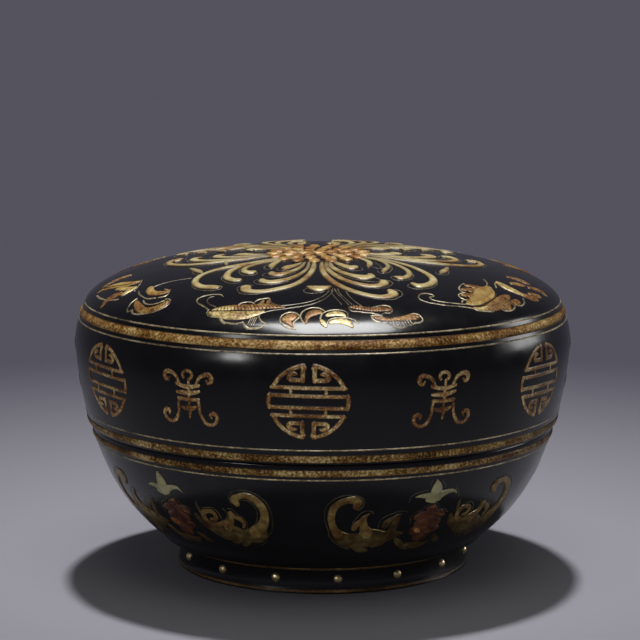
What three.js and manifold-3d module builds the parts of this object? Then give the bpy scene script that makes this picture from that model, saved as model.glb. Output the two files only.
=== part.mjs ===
// A round lacquered trinket box on a studded foot ring: a turned wooden bowl with a glued-in
// locating lip, and a domed lid that drops over the lip and lifts straight off.
// Millimetres, +Z up. The origin is the centre of the foot's resting face.
import * as THREE from "three";
import { mergeVertices } from "three/addons/utils/BufferGeometryUtils.js";
import Module from "manifold-3d";

const wasm = await Module();
wasm.setup();

// Heights, from the table upwards
const footHeight = 7; // table to the underside of the bowl
const bowlHeight = 28.2; // underside of the bowl to the seam with the lid
const lidWallHeight = 27.4; // seam to the middle of the shoulder bead
const crownRise = 13.5; // dome of the lid above its springing line
const domeSpringing = 0.6; // springing line of the dome above the middle of the shoulder bead

// Radii, and the steps from the bowl's rim to what lies beside it
const bowlRimRadius = 55.9; // bowl wall just under the seam
const bowlBaseRadius = 38.1; // bowl wall where it meets the foot
const rimLedge = 4.1; // bowl's rim, from its wall in to the locating lip
const lipThickness = 2.4;
const lidOverhang = 0.9; // lid wall outside the bowl wall at the seam
const lidSwell = 3.2; // fullest part of the lid wall outside its rim
const shoulderDrawIn = 1.8; // lid wall at the shoulder bead inside its fullest part
const domeStep = 0.3; // dome at its springing line inside the shoulder
const footWaist = 0.7; // how far the foot ring's wall is hollowed at mid height
const footBaseRadius = 35.7; // foot ring, outside, at the table
const footFlare = 0.2; // how much wider the foot ring is at its upper edge
const footThickness = 4.2; // foot ring, outside to inside

// Walls, floors and fits
const lidFullHeight = 20.3; // seam to the fullest part of the lid wall
const lidFullness = 1.6; // how early the lid wall reaches its fullest part
const crownThickness = 5;
const ceilingRise = 12.7; // hollow of the lid's ceiling
const bowlFloorThickness = 4;
const bowlFloorRadius = 36; // flat floor inside the bowl
const bowlCurveStraightness = 0.51; // 1 is a plain cone, 0 a cubic bowl
const bowlCurveStart = 2.2; // below the seam, where the bowl starts to draw in
const lipRise = 6; // locating lip above the seam
const lipDepth = 6.5; // locating lip below the seam, glued into the bowl
const lidClearance = 0.4; // lid over the lip, per side
const glueGap = 0.05; // glue line between a piece and its seat
const seamGap = 0.1; // lid above the bowl's rim
const edgeRound = 0.5; // eased edges at the seam, the lip and the table

// Gilt beads, laid into grooves turned in the wood
const shoulderBeadHeight = 2.1;
const rimBeadHeight = 1.65;
const footBeadHeight = 0.75;
const beadSeatDepth = 0.9; // groove depth under the wall's own surface
const footBeadSeatDepth = 0.4;
const beadBulge = 0.45; // how proud a bead stands
const footBeadBulge = 0.25;
const rimBeadOffset = 1.4; // middle of the lid's rim bead above the seam
const bowlBeadOffset = 2.1; // middle of the bowl's rim bead below the seam
const footBeadInset = 0.75; // middle of each foot bead from the foot's edge

// Brass studs round the foot
const studCount = 15;
const studFirstAngle = 5.8; // degrees from the front, towards the right
const studHeadRadius = 1.05;
const studHeadRise = 0.75;
const studShankRadius = 0.45;
const studShankLength = 2.4;
const studHoleClearance = 0.15;
const studHeight = 3.6; // middle of the studs above the table

// Facets
const turnedSides = 48;
const studSides = 8;
const curveSteps = 7;
const footSteps = 4;
const beadSteps = 3;
const weldDistance = 1e-4; // corners closer than this are one corner

// Places worked out from the sizes
const seam = footHeight + bowlHeight;
const shoulder = seam + lidWallHeight;
const springing = shoulder + domeSpringing;
const crownTop = springing + crownRise;
const lidRimRadius = bowlRimRadius + lidOverhang;
const lidMaxRadius = lidRimRadius + lidSwell;
const lidShoulderRadius = lidMaxRadius - shoulderDrawIn;
const domeRadius = lidShoulderRadius - domeStep;
const lipOuterRadius = bowlRimRadius - rimLedge;
const lipInnerRadius = lipOuterRadius - lipThickness;
const footTopRadius = footBaseRadius + footFlare;
const lidBoreRadius = lipOuterRadius + lidClearance;
const lipSeat = seam - lipDepth;
const bowlFloor = footHeight + bowlFloorThickness;
const ceilingTop = crownTop - crownThickness;
const ceilingSpringing = ceilingTop - ceilingRise;

const lacquer = new THREE.MeshStandardMaterial({ color: 0x0b0b0d, roughness: 0.22, metalness: 0 });
const gilt = new THREE.MeshStandardMaterial({ color: 0x9c7a44, roughness: 0.42, metalness: 0.6 });
const brass = new THREE.MeshStandardMaterial({ color: 0xc2a468, roughness: 0.3, metalness: 1 });

const box = new THREE.Group();
const bowlGroup = new THREE.Group();
const lidGroup = new THREE.Group();
lidGroup.position.z = seam; // the lid's pieces are drawn from the seam upwards
box.add(bowlGroup, lidGroup);

// Outside radius of the lid wall at a height above the seam.
function lidWallRadius(height) {
  if (height < lidFullHeight) {
    const share = height / lidFullHeight;
    return lidRimRadius + (lidMaxRadius - lidRimRadius) * (1 - (1 - share) ** lidFullness);
  }
  const share = (height - lidFullHeight) / (lidWallHeight - lidFullHeight);
  return lidMaxRadius - (lidMaxRadius - lidShoulderRadius) * share ** 2;
}

// Outside radius of the dome at a height above the table.
function domeRadiusAt(height) {
  return domeRadius * Math.sqrt(1 - ((height - springing) / crownRise) ** 2);
}

// Share of the way in from rim to base, for a depth that runs from 0 to 1.
function bowlDraw(depth) {
  return bowlCurveStraightness * depth + (1 - bowlCurveStraightness) * depth ** 3;
}

// Outside radius of the bowl at a height above the table.
function bowlWallRadius(height) {
  const top = seam - bowlCurveStart;
  const depth = Math.max(0, (top - height) / (top - footHeight));
  return bowlRimRadius - (bowlRimRadius - bowlBaseRadius) * bowlDraw(depth);
}

// Inside radius of the bowl, from its floor up to the seat of the lip.
function bowlInnerRadius(height) {
  const depth = (lipSeat - height) / (lipSeat - bowlFloor);
  return lipInnerRadius - (lipInnerRadius - bowlFloorRadius) * bowlDraw(depth);
}

// Outside radius of the foot ring at a height above the table.
function footWallRadius(height) {
  const share = height / footHeight;
  const straight = footBaseRadius + (footTopRadius - footBaseRadius) * share;
  return straight - footWaist * Math.sin(Math.PI * share);
}

// Points of a curve [radius, height] between two heights, both ends included.
function wallPoints(radiusAt, from, to, steps) {
  const points = [];
  for (let i = 0; i <= steps; i++) {
    const height = from + ((to - from) * i) / steps;
    points.push([radiusAt(height), height]);
  }
  return points;
}

// A groove in a wall that is drawn upwards: the wall stops, steps in, and starts again.
function groovePoints(radiusAt, middle, height, depth) {
  const low = middle - height / 2;
  const high = middle + height / 2;
  const floor = Math.min(radiusAt(low), radiusAt(high)) - depth;
  return [
    [radiusAt(low), low],
    [floor, low],
    [floor, high],
    [radiusAt(high), high],
  ];
}

// A closed profile [radius, height], turned round the Z axis.
function turned(profile) {
  const points = profile.map(([radius, height]) => new THREE.Vector2(radius, height));
  points.push(points[0].clone());
  const geometry = new THREE.LatheGeometry(points, turnedSides);
  geometry.rotateX(Math.PI / 2);
  geometry.deleteAttribute("normal");
  geometry.deleteAttribute("uv");
  return mergeVertices(geometry, weldDistance);
}

function addMesh(group, name, geometry, material) {
  const mesh = new THREE.Mesh(geometry, material);
  mesh.name = name;
  group.add(mesh);
  return mesh;
}

// A bead with a flat back in its groove and a rounded face that stands proud of the wall.
function beadGeometry(radiusAt, middle, height, depth, bulge) {
  const low = middle - height / 2;
  const high = middle + height / 2;
  const back = Math.min(radiusAt(low), radiusAt(high)) - depth + glueGap;
  const profile = [[back, high - glueGap], [back, low + glueGap]];
  for (let i = 0; i <= beadSteps; i++) {
    const share = i / beadSteps;
    const face = radiusAt(low) + (radiusAt(high) - radiusAt(low)) * share;
    profile.push([face + bulge * Math.sin(Math.PI * share), low + glueGap + (height - 2 * glueGap) * share]);
  }
  return turned(profile);
}

// The lid is drawn from the seam, so heights above the table come down by the seam's height.
function shoulderRadiusAt(height) {
  return height <= lidWallHeight ? lidWallRadius(height) : domeRadiusAt(height + seam);
}

function lidShell() {
  const shoulderGroove = groovePoints(shoulderRadiusAt, lidWallHeight, shoulderBeadHeight, beadSeatDepth);
  const rimGroove = groovePoints(lidWallRadius, rimBeadOffset, rimBeadHeight, beadSeatDepth);
  const wallStart = rimBeadOffset + rimBeadHeight / 2;
  const wallEnd = lidWallHeight - shoulderBeadHeight / 2;
  const profile = [
    [lidBoreRadius + edgeRound, seamGap],
    [lidWallRadius(0) - edgeRound, seamGap],
    [lidWallRadius(0), seamGap + edgeRound / 2],
    ...rimGroove,
    ...wallPoints(lidWallRadius, wallStart, wallEnd, curveSteps).slice(1, -1),
    ...shoulderGroove,
  ];
  const domeStart = Math.asin((shoulderBeadHeight / 2 - domeSpringing) / crownRise);
  for (let i = 1; i <= curveSteps; i++) {
    const angle = domeStart + ((Math.PI / 2 - domeStart) * i) / curveSteps;
    profile.push([domeRadius * Math.cos(angle), springing - seam + crownRise * Math.sin(angle)]);
  }
  profile[profile.length - 1][0] = 0; // the crown closes on the axis
  for (let i = curveSteps; i >= 0; i--) {
    const angle = ((Math.PI / 2) * i) / curveSteps;
    const radius = i === curveSteps ? 0 : lidBoreRadius * Math.cos(angle);
    profile.push([radius, ceilingSpringing - seam + ceilingRise * Math.sin(angle)]);
  }
  profile.push([lidBoreRadius, seamGap + edgeRound]);
  return turned(profile);
}

function bowlShell() {
  const curveEnd = seam - bowlBeadOffset - rimBeadHeight / 2;
  const profile = [
    [0, footHeight],
    ...wallPoints(bowlWallRadius, footHeight, curveEnd, curveSteps).slice(0, -1),
    ...groovePoints(bowlWallRadius, seam - bowlBeadOffset, rimBeadHeight, beadSeatDepth),
    [bowlRimRadius, seam - edgeRound],
    [bowlRimRadius - edgeRound, seam],
    [lipOuterRadius + glueGap, seam],
    [lipOuterRadius + glueGap, lipSeat],
    ...wallPoints(bowlInnerRadius, lipSeat, bowlFloor, curveSteps),
    [0, bowlFloor],
  ];
  return turned(profile);
}

function locatingLip() {
  const top = seam + lipRise;
  return turned([
    [lipInnerRadius, lipSeat + glueGap],
    [lipOuterRadius, lipSeat + glueGap],
    [lipOuterRadius, top - edgeRound],
    [lipOuterRadius - edgeRound, top],
    [lipInnerRadius + edgeRound, top],
    [lipInnerRadius, top - edgeRound],
  ]);
}

// A cylinder whose axis points out of the foot at one stud, from a start radius outwards.
function radialCylinder(radius, length, start, angle) {
  const geometry = new THREE.CylinderGeometry(radius, radius, length, studSides);
  geometry.rotateZ(Math.PI / 2);
  geometry.translate(start + length / 2, 0, studHeight);
  geometry.rotateZ(angle);
  return geometry;
}

function solidOf(geometry) {
  const bare = geometry.clone();
  bare.deleteAttribute("normal");
  bare.deleteAttribute("uv");
  const merged = mergeVertices(bare, weldDistance);
  return new wasm.Manifold(
    new wasm.Mesh({
      numProp: 3,
      vertProperties: new Float32Array(merged.attributes.position.array),
      triVerts: new Uint32Array(merged.index.array),
    }),
  );
}

function geometryOf(solid) {
  const mesh = solid.getMesh();
  const geometry = new THREE.BufferGeometry();
  geometry.setAttribute("position", new THREE.BufferAttribute(mesh.vertProperties, 3));
  geometry.setIndex(new THREE.BufferAttribute(mesh.triVerts, 1));
  return geometry;
}

const studAngles = Array.from(
  { length: studCount },
  (_, i) => THREE.MathUtils.degToRad(studFirstAngle - 90 + (360 * i) / studCount),
);

function footRing() {
  const innerRadius = Math.min(footTopRadius, footBaseRadius) - footThickness;
  const top = footHeight - glueGap;
  const lowBead = footBeadInset + footBeadHeight / 2;
  const highBead = top - footBeadInset - footBeadHeight / 2;
  const profile = [
    [innerRadius + edgeRound, 0],
    [footWallRadius(0) - edgeRound / 2, 0],
    [footWallRadius(0), edgeRound / 2],
    ...groovePoints(footWallRadius, footBeadInset, footBeadHeight, footBeadSeatDepth),
    ...wallPoints(footWallRadius, lowBead, highBead, footSteps).slice(1, -1),
    ...groovePoints(footWallRadius, top - footBeadInset, footBeadHeight, footBeadSeatDepth),
    [footWallRadius(top), top],
    [innerRadius, top],
    [innerRadius, edgeRound],
  ];
  const ring = solidOf(turned(profile));
  const drill = studHoleDepth() + footThickness;
  const holes = studAngles.map((angle) =>
    solidOf(
      radialCylinder(
        studShankRadius + studHoleClearance,
        drill,
        footWallRadius(studHeight) - studHoleDepth(),
        angle,
      ),
    ),
  );
  return geometryOf(holes.reduce((body, hole) => body.subtract(hole), ring));
}

function studHoleDepth() {
  return studShankLength + studHoleClearance;
}

// A stud's head bears on whatever part of the wall behind it stands furthest out.
function studSeat() {
  const behind = [studHeight - studHeadRadius, studHeight, studHeight + studHeadRadius];
  return Math.max(...behind.map(footWallRadius)) + glueGap;
}

// A stud: a domed head against the foot's wall, and a shank in its drilled hole.
function studGeometry() {
  const points = [new THREE.Vector2(0, -studShankLength)];
  points.push(new THREE.Vector2(studShankRadius, -studShankLength));
  points.push(new THREE.Vector2(studShankRadius, 0));
  for (let i = 0; i < beadSteps; i++) {
    const angle = ((Math.PI / 2) * i) / beadSteps;
    points.push(new THREE.Vector2(studHeadRadius * Math.cos(angle), studHeadRise * Math.sin(angle)));
  }
  points.push(new THREE.Vector2(0, studHeadRise));
  const geometry = new THREE.LatheGeometry(points, studSides);
  geometry.deleteAttribute("normal");
  geometry.deleteAttribute("uv");
  return mergeVertices(geometry.rotateZ(-Math.PI / 2), weldDistance); // the head looks along +X
}

function addBowl() {
  addMesh(bowlGroup, "bowl_shell", bowlShell(), lacquer);
  addMesh(bowlGroup, "locating_lip", locatingLip(), lacquer);
  addMesh(
    bowlGroup,
    "bowl_rim_bead",
    beadGeometry(bowlWallRadius, seam - bowlBeadOffset, rimBeadHeight, beadSeatDepth, beadBulge),
    gilt,
  );
}

function addFoot() {
  addMesh(bowlGroup, "foot_ring", footRing(), lacquer);
  const footBeads = { foot_lower_bead: footBeadInset, foot_upper_bead: footHeight - glueGap - footBeadInset };
  for (const [name, middle] of Object.entries(footBeads)) {
    const bead = beadGeometry(footWallRadius, middle, footBeadHeight, footBeadSeatDepth, footBeadBulge);
    addMesh(bowlGroup, name, bead, gilt);
  }
  const head = studGeometry();
  const seat = studSeat();
  studAngles.forEach((angle, i) => {
    const stud = addMesh(bowlGroup, `foot_stud_${String(i + 1).padStart(2, "0")}`, head, brass);
    stud.position.set(seat * Math.cos(angle), seat * Math.sin(angle), studHeight);
    stud.rotation.z = angle;
  });
}

function addLid() {
  addMesh(lidGroup, "lid_shell", lidShell(), lacquer);
  addMesh(
    lidGroup,
    "lid_shoulder_bead",
    beadGeometry(shoulderRadiusAt, lidWallHeight, shoulderBeadHeight, beadSeatDepth, beadBulge),
    gilt,
  );
  addMesh(
    lidGroup,
    "lid_rim_bead",
    beadGeometry(lidWallRadius, rimBeadOffset, rimBeadHeight, beadSeatDepth, beadBulge),
    gilt,
  );
}

addBowl();
addFoot();
addLid();

export default box;
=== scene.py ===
import math
import bpy
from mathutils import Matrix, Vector


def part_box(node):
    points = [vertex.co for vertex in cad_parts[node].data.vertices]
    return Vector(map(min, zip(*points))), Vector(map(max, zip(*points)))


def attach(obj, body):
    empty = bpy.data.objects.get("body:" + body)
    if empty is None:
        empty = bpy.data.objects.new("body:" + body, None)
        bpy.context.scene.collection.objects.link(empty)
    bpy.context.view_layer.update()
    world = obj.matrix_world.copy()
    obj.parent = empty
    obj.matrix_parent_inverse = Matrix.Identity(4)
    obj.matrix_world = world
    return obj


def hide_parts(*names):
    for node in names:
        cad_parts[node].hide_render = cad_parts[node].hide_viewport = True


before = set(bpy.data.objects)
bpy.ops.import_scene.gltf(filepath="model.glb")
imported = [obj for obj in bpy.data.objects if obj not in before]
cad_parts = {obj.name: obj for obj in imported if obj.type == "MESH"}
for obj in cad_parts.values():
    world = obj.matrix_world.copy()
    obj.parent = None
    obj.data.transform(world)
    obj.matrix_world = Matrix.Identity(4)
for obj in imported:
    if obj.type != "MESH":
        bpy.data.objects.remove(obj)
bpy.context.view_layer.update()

mm = 0.001


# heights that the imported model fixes
footTop, seamHeight = [corner[2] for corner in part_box("bowl_shell")]
lipFoot, lipTop = [corner[2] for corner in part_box("locating_lip")]
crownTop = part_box("lid_shell")[1][2]


# small tools

meshing = {
    "turnSides": 192,  # facets round the big turned pieces
    "turnSmooth": 35,  # degrees
    "drawnSmooth": 60,  # degrees
    "mergeGap": 0.002 * mm,
}


def deselectAll():
    if bpy.context.object and bpy.context.object.mode != "OBJECT":
        bpy.ops.object.mode_set(mode="OBJECT")
    bpy.ops.object.select_all(action="DESELECT")


def pick(piece):
    deselectAll()
    piece.select_set(True)
    bpy.context.view_layer.objects.active = piece


def copyOf(piece, name):
    pick(piece)
    bpy.ops.object.duplicate()
    copy = bpy.context.object
    copy.name = name
    copy.data.name = name
    return copy


def finishPiece(piece, body, slot, finish, *nodes):
    piece.data.materials.clear()
    piece.data.materials.append(finishes[finish])
    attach(piece, body)
    if nodes:
        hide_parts(*nodes)


# joins the points that touch, turns the faces outwards and shades them smooth
def closeMesh(piece, smoothAngle):
    pick(piece)
    bpy.ops.object.mode_set(mode="EDIT")
    bpy.ops.mesh.select_all(action="SELECT")
    bpy.ops.mesh.remove_doubles(threshold=meshing["mergeGap"])
    bpy.ops.mesh.normals_make_consistent(inside=False)
    bpy.ops.object.mode_set(mode="OBJECT")
    bpy.ops.object.shade_smooth_by_angle(angle=math.radians(smoothAngle))


# a profile of (radius, height) points, drawn by extruding one corner and spun round the axis
def turnProfile(name, profile, sides=meshing["turnSides"]):
    deselectAll()
    bpy.ops.mesh.primitive_plane_add(size=mm, location=(0, 0, 0))
    piece = bpy.context.object
    piece.name = name
    piece.data.name = name
    bpy.ops.object.mode_set(mode="EDIT")
    bpy.ops.mesh.merge(type="CENTER")
    bpy.ops.transform.translate(value=(profile[0][0], 0, profile[0][1]))
    for (startRadius, startHeight), (radius, height) in zip(profile, profile[1:]):
        step = (radius - startRadius, 0, height - startHeight)
        bpy.ops.mesh.extrude_region_move(TRANSFORM_OT_translate={"value": step})
    bpy.ops.mesh.select_all(action="SELECT")
    bpy.ops.mesh.spin(steps=sides, angle=2 * math.pi, center=(0, 0, 0), axis=(0, 0, 1))
    closeMesh(piece, meshing["turnSmooth"])
    return piece


# points along an oval from one angle to another, in degrees
def ovalPoints(centre, across, up, start, end, steps):
    points = []
    for i in range(steps + 1):
        angle = math.radians(start + (end - start) * i / steps)
        points.append((centre[0] + across * math.cos(angle), centre[1] + up * math.sin(angle)))
    return points


def arcPoints(centre, radius, start, end, steps):
    return ovalPoints(centre, radius, radius, start, end, steps)


# points up a wall, without the lowest one
def wallPoints(wallRadius, low, high, steps):
    heights = [low + (high - low) * i / steps for i in range(1, steps + 1)]
    return [(wallRadius(height), height) for height in heights]


# the rise attribute runs from 0 at the edge of a raised piece to 1 on its top, and the finishes read it to
# paint shade towards the edge
def markRise(piece, rises):
    attribute = piece.data.attributes.new("rise", "FLOAT", "POINT")
    attribute.data.foreach_set("value", rises)


# camera

cameraView = {
    "focal": 2450,  # in pixels of the picture
    "pictureWidth": 640,  # pixels
    "sensor": 36,
    "aside": -0.65 * mm,
    "distance": 589.2 * mm,
    "height": 151.4 * mm,
    "pitch": 8.9,  # degrees down
    "clip": (0.01, 100),
}


def addCamera(view):
    tilt = math.radians(90 - view["pitch"])
    place = (view["aside"], -view["distance"], view["height"])
    bpy.ops.object.camera_add(location=place, rotation=(tilt, 0, 0))
    camera = bpy.context.object
    camera.name = "pictureCamera"
    camera.data.sensor_width = view["sensor"]
    camera.data.lens = view["focal"] / view["pictureWidth"] * view["sensor"]
    camera.data.clip_start, camera.data.clip_end = view["clip"]
    bpy.context.scene.camera = camera


deselectAll()
addCamera(cameraView)
print("camera placed")


# finishes

noiseLook = {"patchDetail": 4, "driftDetail": 2, "grainDetail": 3, "roughness": 0.6}


def newMaterial(name):
    material = bpy.data.materials.new(name)
    material.use_nodes = True
    nodes = material.node_tree.nodes
    nodes.clear()
    output = nodes.new("ShaderNodeOutputMaterial")
    shader = nodes.new("ShaderNodeBsdfPrincipled")
    material.node_tree.links.new(shader.outputs["BSDF"], output.inputs["Surface"])
    return material, nodes, material.node_tree.links, shader


def noiseNode(nodes, links, patch, detail):
    place = nodes.new("ShaderNodeTexCoord")
    noise = nodes.new("ShaderNodeTexNoise")
    noise.inputs["Scale"].default_value = 1 / (patch * mm)
    noise.inputs["Detail"].default_value = detail
    noise.inputs["Roughness"].default_value = noiseLook["roughness"]
    links.new(place.outputs["Object"], noise.inputs["Vector"])
    return noise.outputs["Fac"]


def rampNode(nodes, links, source, stops):
    ramp = nodes.new("ShaderNodeValToRGB")
    elements = ramp.color_ramp.elements
    while len(elements) < len(stops):
        elements.new(0.5)
    for element, (place, colour) in zip(elements, stops):
        element.position = place
        element.color = (*colour, 1)
    links.new(source, ramp.inputs["Fac"])
    return ramp.outputs["Color"]


# turns a span of numbers, by default the middle of a noise, into one from low to high
def mapNode(nodes, links, source, low, high, fromLow=0.35, fromHigh=0.65):
    span = nodes.new("ShaderNodeMapRange")
    span.inputs["From Min"].default_value = fromLow
    span.inputs["From Max"].default_value = fromHigh
    span.inputs["To Min"].default_value = low
    span.inputs["To Max"].default_value = high
    links.new(source, span.inputs["Value"])
    return span.outputs["Result"]


# two noises in one, the second one wider
def driftNode(nodes, links, fine, wide, share):
    mix = nodes.new("ShaderNodeMix")
    mix.inputs[0].default_value = share
    links.new(fine, mix.inputs[2])  # the first number
    links.new(wide, mix.inputs[3])  # the second number
    return mix.outputs[0]


# painted shade: the colour of a raised piece darkens towards its edges, where its sides slope down into the
# lacquer
def edgeShadeNode(nodes, links, colour, edge, span):
    rise = nodes.new("ShaderNodeAttribute")
    rise.attribute_name = "rise"
    mix = nodes.new("ShaderNodeMix")
    mix.data_type = "RGBA"
    links.new(mapNode(nodes, links, rise.outputs["Fac"], 0, 1, *span), mix.inputs[0])
    mix.inputs[6].default_value = (*edge, 1)  # the first colour
    links.new(colour, mix.inputs[7])  # the second colour
    return mix.outputs[2]


def bumpNode(nodes, links, source, shader, height):
    bump = nodes.new("ShaderNodeBump")
    bump.inputs["Strength"].default_value = 1
    bump.inputs["Distance"].default_value = height * mm
    links.new(source, bump.inputs["Height"])
    links.new(bump.outputs["Normal"], shader.inputs["Normal"])


# a mottled finish: patches of some tones that drift over the piece, with a grain that breaks up the gloss
def mottledFinish(name, look):
    material, nodes, links, shader = newMaterial(name)
    patches = noiseNode(nodes, links, look["patch"], noiseLook["patchDetail"])
    wide = noiseNode(nodes, links, look["drift"], noiseLook["driftDetail"])
    colour = rampNode(nodes, links, driftNode(nodes, links, patches, wide, look["driftShare"]), look["tones"])
    # the edge tone is painted shade towards the foot of a raised piece
    if "edge" in look:
        colour = edgeShadeNode(nodes, links, colour, look["edge"], look["edgeShadeSpan"])
    links.new(colour, shader.inputs["Base Color"])
    grain = noiseNode(nodes, links, look["grain"], noiseLook["grainDetail"])
    links.new(mapNode(nodes, links, grain, *look["roughness"]), shader.inputs["Roughness"])
    bumpNode(nodes, links, grain, shader, look["relief"])
    shader.inputs["Metallic"].default_value = look["metal"]
    shader.inputs["Specular IOR Level"].default_value = look["specular"]
    return material


# what kindred finishes share; patch, drift, grain and relief are in millimetres
beadLook = {
    "edgeShadeSpan": (0.1, 0.7), "patch": 0.55, "drift": 9, "driftShare": 0.38, "grain": 0.5, "relief": 0.06,
    "roughness": (0.34, 0.5), "metal": 0.1,
}
lineLook = {
    "patch": 0.8, "drift": 8, "driftShare": 0.45, "grain": 0.4, "relief": 0.01, "roughness": (0.3, 0.5),
    "metal": 0.1, "specular": 0.3,
}
bossLook = {
    "edgeShadeSpan": (0.15, 0.68), "patch": 1.4, "drift": 8, "driftShare": 0.4, "grain": 0.8, "relief": 0.015,
    "roughness": (0.34, 0.46), "metal": 0.08, "specular": 0.18,
}
leafLook = {
    "edgeShadeSpan": (0.1, 0.7), "patch": 0.7, "drift": 5, "driftShare": 0.35, "grain": 0.5, "relief": 0.04,
    "metal": 0.1,
}
garlandLook = {
    "edgeShadeSpan": (0.1, 0.7), "patch": 1.6, "drift": 6, "driftShare": 0.5, "grain": 0.6, "relief": 0.03,
    "roughness": (0.34, 0.5), "metal": 0.2, "specular": 0.3,
}
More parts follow.
